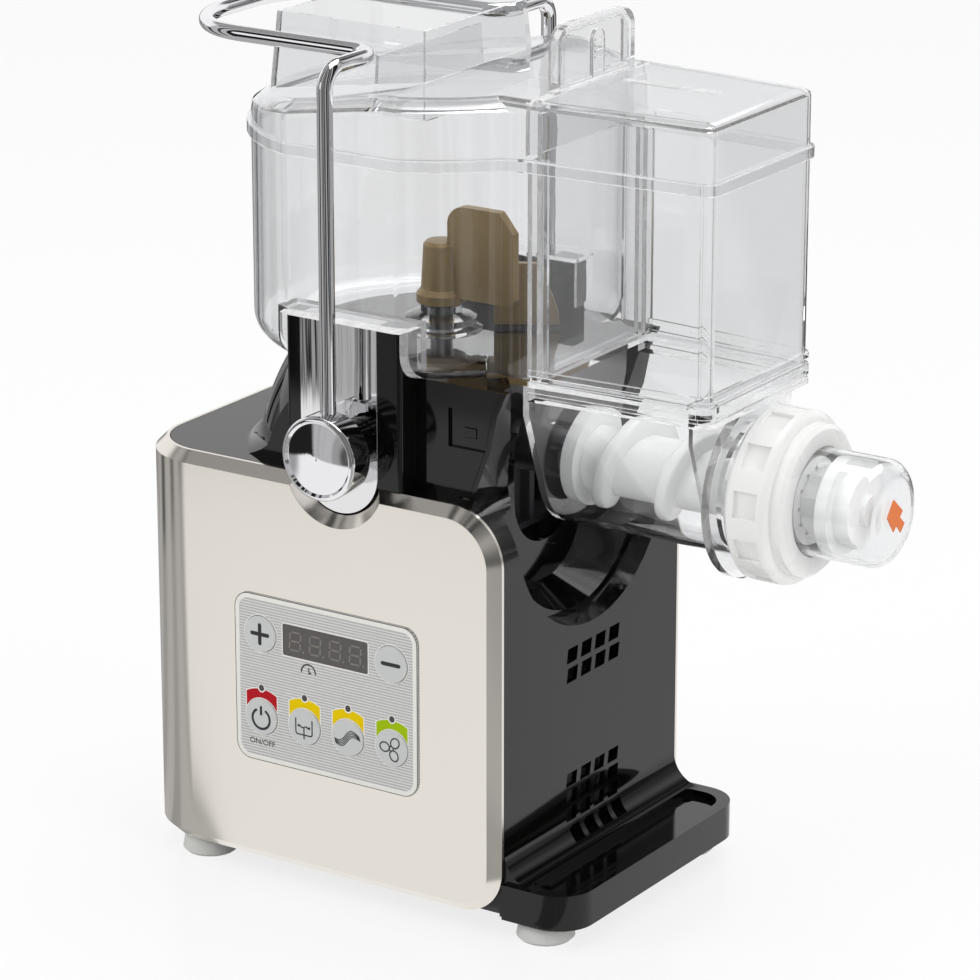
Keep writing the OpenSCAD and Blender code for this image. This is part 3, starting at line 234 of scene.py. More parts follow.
def surface_grain_group() -> Tree:
    """Builds the shared group that varies gloss and height over a moulded surface.

    Returns:
        The node group, with inputs Scale, Base, Spread, Relief and Stretch, and outputs
        Roughness and Height.
    """
    if "surface_grain" in bpy.data.node_groups:
        return bpy.data.node_groups["surface_grain"]
    group, inlet, outlet = start_group(
        "surface_grain", "Float", {"Scale": 400.0, "Base": 0.2, "Spread": 0.05, "Relief": 0.1,
                                   "Stretch": 1.0}, ("Roughness", "Height"))
    nodes, links = group.nodes, group.links
    place = nodes.new("ShaderNodeTexCoord").outputs["Object"]
    factors = nodes.new("ShaderNodeCombineXYZ")
    set_inputs(factors, {"X": 1.0, "Y": 1.0})
    links.new(inlet.outputs["Stretch"], factors.inputs["Z"])
    stretched = vector_node(group, "MULTIPLY", place, factors.outputs["Vector"])
    fine = noise_node(group, stretched, inlet.outputs["Scale"], 4.0)
    broad = noise_node(group, place, 18.0, 2.0)
    rough = math_node(group, "MULTIPLY_ADD", broad, inlet.outputs["Spread"],
                      inlet.outputs["Base"])
    links.new(rough, outlet.inputs["Roughness"])
    links.new(math_node(group, "MULTIPLY", fine, inlet.outputs["Relief"]),
              outlet.inputs["Height"])
    return group


def film_weave_group() -> Tree:
    """Builds the fine line pattern of the printed panel film.

    Returns:
        The node group, with inputs Light and Dark, and output Color.
    """
    if "film_weave" in bpy.data.node_groups:
        return bpy.data.node_groups["film_weave"]
    group, inlet, outlet = start_group(
        "film_weave", "Color", {"Light": (0.8, 0.82, 0.84, 1), "Dark": (0.6, 0.62, 0.64, 1)},
        ("Color",))
    nodes, links = group.nodes, group.links
    coord = nodes.new("ShaderNodeTexCoord")
    wave = nodes.new("ShaderNodeTexWave")
    wave.bands_direction = "Z"
    set_inputs(wave, {"Scale": 228.0, "Distortion": 0.9, "Detail Scale": 14.0})
    links.new(coord.outputs["Object"], wave.inputs["Vector"])
    mix = nodes.new("ShaderNodeMix")
    mix.data_type = "RGBA"
    links.new(wave.outputs["Fac"], mix.inputs["Factor"])
    links.new(inlet.outputs["Light"], mix.inputs[6])
    links.new(inlet.outputs["Dark"], mix.inputs[7])
    links.new(mix.outputs[2], outlet.inputs["Color"])
    return group


# ------------------------------------------------------------------ finishes


class Grain(Enum):
    """How the gloss and the flatness of a finish vary over its surface.

    The values are the size of the grain, the spread of its roughness, its relief, the
    strength and distance of its bump in metres, and how it is stretched along Z.
    """

    NONE = ()
    SOFT = (500.0, 0.03, 0.05, 0.03, 0.0002, 1.0)
    SATIN = (1800.0, 0.08, 0.4, 0.12, 0.0002, 1.0)
    WAVY = (26.0, 0.0, 1.0, 0.05, 0.0012, 1.0)
    RIPPLED = (75.0, 0.02, 1.0, 0.22, 0.0012, 0.03)


@dataclass(frozen=True)
class Finish:
    """One finish of the machine.

    Attributes:
        name: Material name.
        color: Base colour in linear values.
        slot: Material slot of the record that the finish belongs to. It is not used.
        roughness: Mean roughness.
        metallic: Metallic weight.
        transmission: Transmission weight of clear plastic.
        ior: Index of refraction.
        coat: Clear coat weight.
        subsurface: Subsurface weight of milky plastic.
        grain: How much the gloss varies.
    """

    name: str
    color: Triple
    slot: str
    roughness: float = 0.3
    metallic: float = 0.0
    transmission: float = 0.0
    ior: float = 1.5
    coat: float = 0.0
    subsurface: float = 0.0
    grain: Grain = Grain.SOFT

    def material(self) -> bpy.types.Material:
        """Returns the Blender material of this finish, built once."""
        if self.name in bpy.data.materials:
            return bpy.data.materials[self.name]
        made = bpy.data.materials.new(self.name)
        made.use_nodes = True
        shader = made.node_tree.nodes["Principled BSDF"]
        set_inputs(shader, {
            "Base Color": (*self.color, 1.0), "Metallic": self.metallic,
            "Roughness": self.roughness, "Transmission Weight": self.transmission,
            "IOR": self.ior, "Coat Weight": self.coat, "Coat Roughness": 0.03})
        if self.subsurface > 0:
            set_inputs(shader, {"Subsurface Weight": self.subsurface, "Subsurface Scale": 1.0,
                                "Subsurface Radius": (0.006, 0.006, 0.006)})
        if self.grain is not Grain.NONE:
            self._add_grain(made.node_tree, shader)
        return made

    def _add_grain(self, tree: Tree, shader: bpy.types.Node) -> None:
        """Drives roughness and bump of the shader from the shared grain group.

        Args:
            tree: Node tree of the material.
            shader: Its Principled BSDF.
        """
        group = tree.nodes.new("ShaderNodeGroup")
        group.node_tree = surface_grain_group()
        scale, spread, relief, strength, distance, stretch = self.grain.value
        set_inputs(group, {"Scale": scale, "Base": self.roughness, "Spread": spread,
                           "Relief": relief, "Stretch": stretch})
        bump = tree.nodes.new("ShaderNodeBump")
        set_inputs(bump, {"Strength": strength, "Distance": distance})
        if spread > 0:
            tree.links.new(group.outputs["Roughness"], shader.inputs["Roughness"])
        tree.links.new(group.outputs["Height"], bump.inputs["Height"])
        tree.links.new(bump.outputs["Normal"], shader.inputs["Normal"])


@dataclass(frozen=True)
class FilmFinish(Finish):
    """Printed film with a fine woven line pattern."""

    dark: Triple = (0.5, 0.52, 0.55)

    def material(self) -> bpy.types.Material:
        """Returns the Blender material of the film, built once."""
        known = self.name in bpy.data.materials
        made = super().material()
        if not known:
            tree = made.node_tree
            group = tree.nodes.new("ShaderNodeGroup")
            group.node_tree = film_weave_group()
            set_inputs(group, {"Light": (*self.color, 1.0), "Dark": (*self.dark, 1.0)})
            shader = tree.nodes["Principled BSDF"]
            tree.links.new(group.outputs["Color"], shader.inputs["Base Color"])
        return made


@dataclass(frozen=True)
class ClearFinish(Finish):
    """Clear plastic with a pale blue-grey sheen painted into its colour where its surface is seen
    edge on.

    Attributes:
        edge_sheen_tint: Painted edge colour of the surface seen edge on, standing in partly for
            reflections and partly for the deeper tint of a wall seen along its length.
        edge_sheen_span: Facing values between which the colour turns to the painted edge sheen.
        shadow_pass: Share of the light that shadow rays let through.
    """

    edge_sheen_tint: Triple = (0.52, 0.58, 0.68)
    edge_sheen_span: tuple[float, float] = (0.62, 0.97)
    shadow_pass: float = 0.78

    def material(self) -> bpy.types.Material:
        """Returns the Blender material of the clear plastic, built once."""
        known = self.name in bpy.data.materials
        made = super().material()
        if not known:
            tree = made.node_tree
            # Painted edge sheen: the base colour turns pale blue-grey where the surface is seen
            # edge on, standing in partly for reflections and partly for the deeper tint of a wall
            # seen along its length.
            angle = tree.nodes.new("ShaderNodeLayerWeight")
            angle.inputs["Blend"].default_value = 0.5
            edge = ramp_node(tree, angle.outputs["Facing"], self.edge_sheen_span)
            tint = tree.nodes.new("ShaderNodeMix")
            tint.data_type = "RGBA"
            tint.inputs["A"].default_value = (*self.color, 1.0)
            tint.inputs["B"].default_value = (*self.edge_sheen_tint, 1.0)
            tree.links.new(edge, tint.inputs["Factor"])
            shader = tree.nodes["Principled BSDF"]
            tree.links.new(tint.outputs["Result"], shader.inputs["Base Color"])
            tree.links.new(self._solid_share(tree), shader.inputs["Alpha"])
        return made

    def _solid_share(self, tree: Tree) -> Socket:
        """Adds nodes that let shadow rays and rays trapped in a wall go straight on.

        Args:
            tree: Node tree of the material.

        Returns:
            The output socket, 1 where the plastic acts in full.
        """
        path = tree.nodes.new("ShaderNodeLightPath")
        trapped = math_node(tree, "MULTIPLY", path.outputs["Glossy Depth"],
                            path.outputs["Transmission Depth"], clamp=True)
        free = math_node(tree, "MULTIPLY_ADD", path.outputs["Is Shadow Ray"], self.shadow_pass,
                         trapped, clamp=True)
        return math_node(tree, "SUBTRACT", 1.0, free)


STEEL = Finish("champagne_steel", (0.80, 0.76, 0.70), "steel", 0.16, 1.0)
CHROME = Finish("polished_chrome", (0.86, 0.86, 0.88), "chrome", 0.03, 1.0)
INLAY = Finish("rippled_chrome", (0.80, 0.80, 0.80), "chrome", 0.04, 1.0, grain=Grain.RIPPLED)
ZINC = Finish("zinc_plate", (0.45, 0.45, 0.47), "dark_metal", 0.35, 1.0, grain=Grain.SATIN)
BLACK = Finish("gloss_black", (0.004, 0.0036, 0.0034), "black", 0.05, ior=1.42)
INNER = Finish("moulded_grey", (0.05, 0.05, 0.055), "grey", 0.5, grain=Grain.SATIN)
RUBBER = Finish("pale_rubber", (0.72, 0.72, 0.70), "rubber", 0.65, grain=Grain.SATIN)
CLEAR = ClearFinish("clear_plastic", (0.93, 0.934, 0.94), "clear", 0.0, 0.0, 1.0, 1.25,
                    coat=1.0, grain=Grain.WAVY)
BRONZE = Finish("bronze_paddle", (0.27, 0.19, 0.085), "bronze", 0.34, 0.4)
WHITE = Finish("white_plastic", (0.93, 0.935, 0.925), "white", 0.25, subsurface=0.15)
MILKY = Finish("milky_plastic", (0.93, 0.93, 0.915), "nut_white", 0.26, subsurface=0.35)
FILM = FilmFinish("panel_film", (0.78, 0.775, 0.76), "panel", 0.35, grain=Grain.NONE,
                  dark=(0.42, 0.425, 0.42))
PALE = Finish("pale_ink", (0.88, 0.87, 0.83), "panel", 0.5, ior=1.2)
WINDOW = Finish("smoked_window", (0.06, 0.05, 0.05), "smoked", 0.12, coat=0.5)
SEGMENT = Finish("unlit_segment", (0.20, 0.185, 0.165), "digits", 0.4)
KEY = Finish("key_cap", (0.62, 0.632, 0.628), "key", 0.35, grain=Grain.SATIN)
INK = Finish("dark_ink", (0.02, 0.02, 0.022), "panel", 0.5)
RED = Finish("red_tab", (0.48, 0.014, 0.022), "panel", 0.5, ior=1.15)
YELLOW = Finish("yellow_tab", (0.86, 0.62, 0.001), "panel", 0.5, ior=1.15)
GREEN = Finish("green_tab", (0.38, 0.56, 0.006), "panel", 0.5, ior=1.15)
DARK_LAMP = Finish("unlit_lamp", (0.055, 0.052, 0.055), "lamp", 0.25)
LAMP = Finish("small_lamp", (0.05, 0.04, 0.04), "lamp", 0.2)
BOARD = Finish("board_green", (0.03, 0.16, 0.07), "board", 0.5, grain=Grain.SATIN)
ORANGE = Finish("orange_print", (0.85, 0.20, 0.03), "orange", 0.45)
GEAR = Finish("gear_plastic", (0.75, 0.73, 0.65), "gear", 0.4, grain=Grain.SATIN)
BUSH = Finish("sintered_bush", (0.55, 0.42, 0.22), "bush", 0.4, 1.0, grain=Grain.SATIN)
CAN = Finish("motor_can", (0.42, 0.42, 0.44), "motor", 0.4, 1.0, grain=Grain.SATIN)


# ------------------------------------------------------------------ mesh helpers


def body_of_node(node: str) -> str:
    """Looks up the CAD body that a node belongs to.

    Args:
        node: Name of the CAD node.

    Returns:
        Name of its body.
    """
    return frame["nodes"][node]["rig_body"]


def make_object(bm: Mesh, name: str, material: bpy.types.Material) -> bpy.types.Object:
    """Turns a bmesh into an object of the scene.

    Args:
        bm: Mesh in the row frame, freed here.
        name: Name of the object and its mesh.
        material: Its only material.

    Returns:
        The new object, at the origin.
    """
    mesh = bpy.data.meshes.new(name)
    bm.to_mesh(mesh)
    bm.free()
    mesh.materials.append(material)
    return link_object(name, mesh)


def link_object(name: str, data: bpy.types.ID) -> bpy.types.Object:
    """Makes an object of some data and links it to the scene.

    Args:
        name: Object name.
        data: Mesh, curve, light or camera.

    Returns:
        The new object.
    """
    made = bpy.data.objects.new(name, data)
    bpy.context.scene.collection.objects.link(made)
    return made


def set_shading(bm: Mesh, angle_deg: float) -> None:
    """Smooths all faces and keeps edges sharper than an angle.

    Args:
        bm: Mesh to shade.
        angle_deg: Edges turned by more than this stay sharp.
    """
    limit = math.radians(angle_deg)
    for face in bm.faces:
        face.smooth = True
    for edge in bm.edges:
        sharp = len(edge.link_faces) != 2 or edge.calc_face_angle(0.0) > limit
        edge.smooth = not sharp


def finish_object(bm: Mesh, name: str, finish: Finish, body: str,
                  angle_deg: float = 35.0) -> bpy.types.Object:
    """Turns a bmesh into a dressed object that rides on a CAD body.

    Args:
        bm: Mesh in the row frame, freed here.
        name: Object name.
        finish: Finish of the piece.
        body: CAD body it moves with.
        angle_deg: Shading limit.

    Returns:
        The new object, at the origin.
    """
    set_shading(bm, angle_deg)
    piece = make_object(bm, name, finish.material())
    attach(piece, body)
    return piece


def dress_node(node: str, finish: Finish, bevel_mm: float = 0.0,
               angle_deg: float = SHARP_DEG) -> bpy.types.Object:
    """Shows a CAD node as a merged, smoothly shaded copy in a finish.

    Args:
        node: Name of the CAD node.
        finish: Its finish.
        bevel_mm: Width of the rounding on its sharp edges, or 0 for none.
        angle_deg: Shading limit.

    Returns:
        The object that stands for the node.
    """
    bm = bmesh.new()
    bm.from_mesh(frame["nodes"][node].data)
    bmesh.ops.remove_doubles(bm, verts=bm.verts, dist=MERGE_DIST)
    if bevel_mm > 0:
        bmesh.ops.dissolve_limit(bm, angle_limit=math.radians(FLAT_DEG), verts=bm.verts,
                                 edges=bm.edges, delimit={"NORMAL"})
    for face in bm.faces:
        face.material_index = 0
    piece = finish_object(bm, f"{node}_shown", finish, body_of_node(node), angle_deg)
    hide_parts(node)
    if bevel_mm > 0:
        bevel = piece.modifiers.new("edge_round", "BEVEL")
        bevel.width = bevel_mm * MM
        bevel.segments = BEVEL_STEPS
        bevel.limit_method = "ANGLE"
        bevel.angle_limit = math.radians(angle_deg)
        bevel.use_clamp_overlap = True
        bevel.harden_normals = True
        level = piece.modifiers.new("flat_faces", "WEIGHTED_NORMAL")
        level.mode = "FACE_AREA"
        level.weight = NORMAL_WEIGHT
        level.keep_sharp = True
    LOG.info("dressed %s as %s", node, finish.name)
    return piece


# ------------------------------------------------------------------ sub-assemblies


@dataclass
class Casing:
    """Steel wrap, black mouldings, base plate, feet and cable inlet.

    Attributes:
        steel_round: Edge rounding of the steel wrap in millimetres.
        cover_round: Edge rounding of the black cover in millimetres.
        inlay_round: Edge rounding of the chrome inlays in millimetres.
    """

    steel_round: float = 0.25
    cover_round: float = 0.35
    inlay_round: float = 0.2

    def dress(self) -> None:
        """Gives every casing node its finish."""
        dress_node("side_shell", STEEL, self.steel_round)
        dress_node("front_housing", BLACK)
        dress_node("top_cover", BLACK, self.cover_round)
        dress_node("near_inlay", INLAY, self.inlay_round)
        dress_node("far_inlay", INLAY, self.inlay_round)
        for node in ("base_plate", "cord_gland", "safety_switch"):
            dress_node(node, INNER)
        dress_node("latch_button", BLACK)
        dress_node("rubber_feet", RUBBER)
        dress_node("base_screws", ZINC)


@dataclass
class Handle:
    """Chrome wire handle with its two knobs and pivots.

    Attributes:
        wire_deg: Shading limit of the wire.
        knob_deg: Shading limit of the knobs.
    """

    wire_deg: float = 60.0
    knob_deg: float = 40.0

    def dress(self) -> None:
        """Gives the handle its finish."""
        dress_node("bail_wire", CHROME, angle_deg=self.wire_deg)
        dress_node("near_knob", CHROME, angle_deg=self.knob_deg)
        dress_node("far_knob", CHROME, angle_deg=self.knob_deg)
        dress_node("pivot_posts", ZINC)


@dataclass
class BowlAndLid:
    """Clear bowl, lid and gate with the paddle and its spindle.

    Attributes:
        clear_round: Edge rounding of the clear pieces in millimetres.
        paddle_round: Edge rounding of the paddle in millimetres.
    """

    clear_round: float = 0.5
    paddle_round: float = 0.6

    def dress(self) -> None:
        """Gives the bowl group its finish."""
        dress_node("kneading_bowl", CLEAR, self.clear_round)
        dress_node("bowl_lid", CLEAR, self.clear_round)
        dress_node("gate_plate", CLEAR, self.clear_round)
        dress_node("paddle", BRONZE, self.paddle_round)
        dress_node("spindle", ZINC)
        dress_node("spindle_bush", BUSH)


@dataclass
class Extruder:
    """Clear barrel, white auger, ring nut, die and cap.

    Attributes:
        clear_round: Edge rounding of the barrel in millimetres.
        nut_round: Edge rounding of the ring nut in millimetres.
        die_round: Edge rounding of the die and its holder in millimetres.
        auger_deg: Shading limit of the auger.
    """

    clear_round: float = 0.4
    nut_round: float = 0.5
    die_round: float = 0.3
    auger_deg: float = 40.0

    def dress(self) -> None:
        """Gives the extruder its finish."""
        dress_node("extruder_barrel", CLEAR, self.clear_round)
        dress_node("auger", WHITE, angle_deg=self.auger_deg)
        dress_node("ring_nut", MILKY, self.nut_round)
        dress_node("die_disc", WHITE, self.die_round)
        dress_node("die_holder", WHITE, self.die_round)
        dress_node("die_cap", CLEAR)
        dress_node("cap_arrow", ORANGE)
        dress_node("auger_coupling", ZINC)


@dataclass
class Drive:
    """Motor, gears and blower inside the casing."""

    def dress(self) -> None:
        """Gives the inner parts their finishes."""
        for node in ("drive_gear", "spindle_bevel", "auger_bevel"):
            dress_node(node, GEAR)
        for node in ("gear_frame", "motor_fan", "blower_frame", "blower_fan"):
            dress_node(node, INNER)
        dress_node("motor_body", CAN)
        dress_node("motor_rotor", ZINC)


SEGMENTS = {"top": (-1, 1, 1, 1), "mid": (-1, 0, 1, 0), "low": (-1, -1, 1, -1),
            "ul": (-1, 0, -1, 1), "ur": (1, 0, 1, 1), "ll": (-1, -1, -1, 0), "lr": (1, -1, 1, 0)}


def arc_path(centre: Spot, radius: float, start_deg: float, turn_deg: float,
             squash: float = 1.0, tilt_deg: float = 0.0) -> list[Spot]:
    """Returns points along an arc or an ellipse.

    Args:
        centre: Centre of the arc.
        radius: Half width.
        start_deg: Start angle from +X.
        turn_deg: Angle swept counter-clockwise.
        squash: Height over width.
        tilt_deg: Turn of the whole shape.

    Returns:
        The points, about one every ten degrees.
    """
    steps = max(6, int(abs(turn_deg) / 10))
    tilt = Matrix.Rotation(math.radians(tilt_deg), 2)
    path = []
    for step in range(steps + 1):
        angle = math.radians(start_deg + turn_deg * step / steps)
        spot = tilt @ Vector((radius * math.cos(angle), radius * squash * math.sin(angle)))
        path.append((centre[0] + spot.x, centre[1] + spot.y))
    return path


def round_frame(half_w: float, half_h: float, radius: float) -> list[Spot]:
    """Draws the closed outline of a rectangle with round corners.

    Args:
        half_w: Half its width.
        half_h: Half its height.
        radius: Corner radius.

    Returns:
        The points, of which the last is the first again.
    """
    path = []
    for number, (side, rise) in enumerate(((1, 1), (-1, 1), (-1, -1), (1, -1))):
        path += arc_path((side * (half_w - radius), rise * (half_h - radius)), radius,
                         90.0 * number, 90.0)
    return path + path[:1]


@dataclass
class Artwork:
    """Flat print on the panel and keys, drawn in millimetres and seen from -Y.

    Attributes:
        x0: Row x of the drawing's origin, in metres.
        z0: Row z of the drawing's origin, in metres.
        y: Row y of the printed surface, in metres.
        body: CAD body the print moves with.
        depth: Thickness of the ink in millimetres.
    """

    x0: float
    z0: float
    y: float
    body: str = "base"
    depth: float = 0.04

    def _print(self, bm: Mesh, name: str, ink: Finish, lift: float) -> None:
        """Thickens a drawing, moves it from the XY plane onto the surface and inks it.

        Args:
            bm: Drawing in the XY plane, in millimetres, freed here.
            name: Object name.
            ink: Finish of the print.
            lift: Height above the surface in millimetres.
        """
        made = bmesh.ops.extrude_face_region(bm, geom=bm.faces[:])
        top = [part for part in made["geom"] if isinstance(part, bmesh.types.BMVert)]
        bmesh.ops.translate(bm, vec=(0, 0, self.depth), verts=top)
        bmesh.ops.recalc_face_normals(bm, faces=bm.faces)
        stand = Matrix.Rotation(math.radians(90), 4, "X")
        onto = Matrix.Translation((self.x0, self.y - lift * MM, self.z0))
        bmesh.ops.transform(bm, matrix=onto @ stand @ Matrix.Scale(MM, 4), verts=bm.verts)
        finish_object(bm, name, ink, self.body)

    def band(self, name: str, low: list[Spot], high: list[Spot], ink: Finish,
             lift: float = 0.02) -> None:
        """Fills the strip between two lines that have the same number of points.

        Args:
            name: Object name.
            low: Points of the lower line.
            high: Points of the upper line.
            ink: Finish of the print.
            lift: Height above the surface in millimetres.
        """
        bm = bmesh.new()
        bmesh.ops.create_grid(bm, x_segments=len(low) - 1, y_segments=1, size=0.5)
        columns = sorted(bm.verts, key=lambda vert: (round(vert.co.x, 5), vert.co.y))
        for number, (below, above) in enumerate(zip(low, high)):
            columns[2 * number].co = (*below, 0)
            columns[2 * number + 1].co = (*above, 0)
        bmesh.ops.remove_doubles(bm, verts=bm.verts, dist=1e-5)
        self._print(bm, name, ink, lift)

    def line(self, name: str, path: list[Spot], width: float, ink: Finish,
             lift: float = 0.02, tips: float = 0.0) -> None:
        """Draws a line of one width along a path, which may close on itself.

        Args:
            name: Object name.
            path: Points in millimetres.
            width: Line width in millimetres.
            ink: Finish of the print.
            lift: Height above the surface in millimetres.
            tips: Length of the rounded ends in millimetres, or 0 for square ones.
        """
        points = [Vector(spot) for spot in path]
        halves = [width / 2] * len(points)
        closed = (points[0] - points[-1]).length < 1e-6
        if tips > 0 and not closed:
            for front in (True, False):
                end, inner = (points[0], points[1]) if front else (points[-1], points[-2])
                out = (end - inner).normalized()
                extra = [(end + out * tips * math.sin(math.radians(turn)),
                          width / 2 * math.cos(math.radians(turn))) for turn in (30, 55, 80)]
                if front:
                    points = [spot for spot, _ in extra[::-1]] + points
                    halves = [half for _, half in extra[::-1]] + halves
                else:
                    points += [spot for spot, _ in extra]
                    halves += [half for _, half in extra]
        low, high = [], []
        for number, spot in enumerate(points):
            before = points[number - 1] if number else (points[-2] if closed else spot)
            after = (points[number + 1] if number + 1 < len(points)
                     else (points[1] if closed else spot))
            run = (after - before).normalized()
            legs = [leg.normalized() for leg in (spot - before, after - spot) if leg.length > 0]
            mitre = max(0.5, abs(run.dot(legs[0])))
            side = Vector((-run.y, run.x)) * halves[number] / mitre
            low.append(tuple(spot - side))
            high.append(tuple(spot + side))
        self.band(name, low, high, ink, lift)

    def disc(self, name: str, centre: Spot, radius: float, ink: Finish, lift: float = 0.02) -> None:
        """Draws a filled circle.

        Args:
            name: Object name.
            centre: Centre in millimetres.
            radius: Radius in millimetres.
            ink: Finish of the print.
            lift: Height above the surface in millimetres.
        """
        bm = bmesh.new()
        bmesh.ops.create_circle(bm, cap_ends=True, segments=40, radius=radius)
        bmesh.ops.translate(bm, vec=(*centre, 0), verts=bm.verts)
        self._print(bm, name, ink, lift)

    def words(self, name: str, text: str, height: float, ink: Finish) -> None:
        """Prints a short plain word at the origin of the drawing.

        Args:
            name: Object name.
            text: The letters.
            height: Letter height in millimetres.
            ink: Finish of the print.
        """
        curve = bpy.data.curves.new(name, "FONT")
        curve.body = text
        curve.size = height * 1.38
        curve.align_x = "CENTER"
        curve.align_y = "CENTER"
        holder = link_object(name + "_draft", curve)
        bpy.context.view_layer.update()
        mesh = bpy.data.meshes.new_from_object(holder)
        bpy.data.objects.remove(holder)
        bm = bmesh.new()
        bm.from_mesh(mesh)
        bpy.data.meshes.remove(mesh)
        self._print(bm, name, ink, 0.02)


class Symbol(Enum):
    """What a key shows."""

    PLUS = "plus"
    MINUS = "minus"
    POWER = "power"
    BOWL = "bowl"
    STRANDS = "strands"
    FAN = "fan"


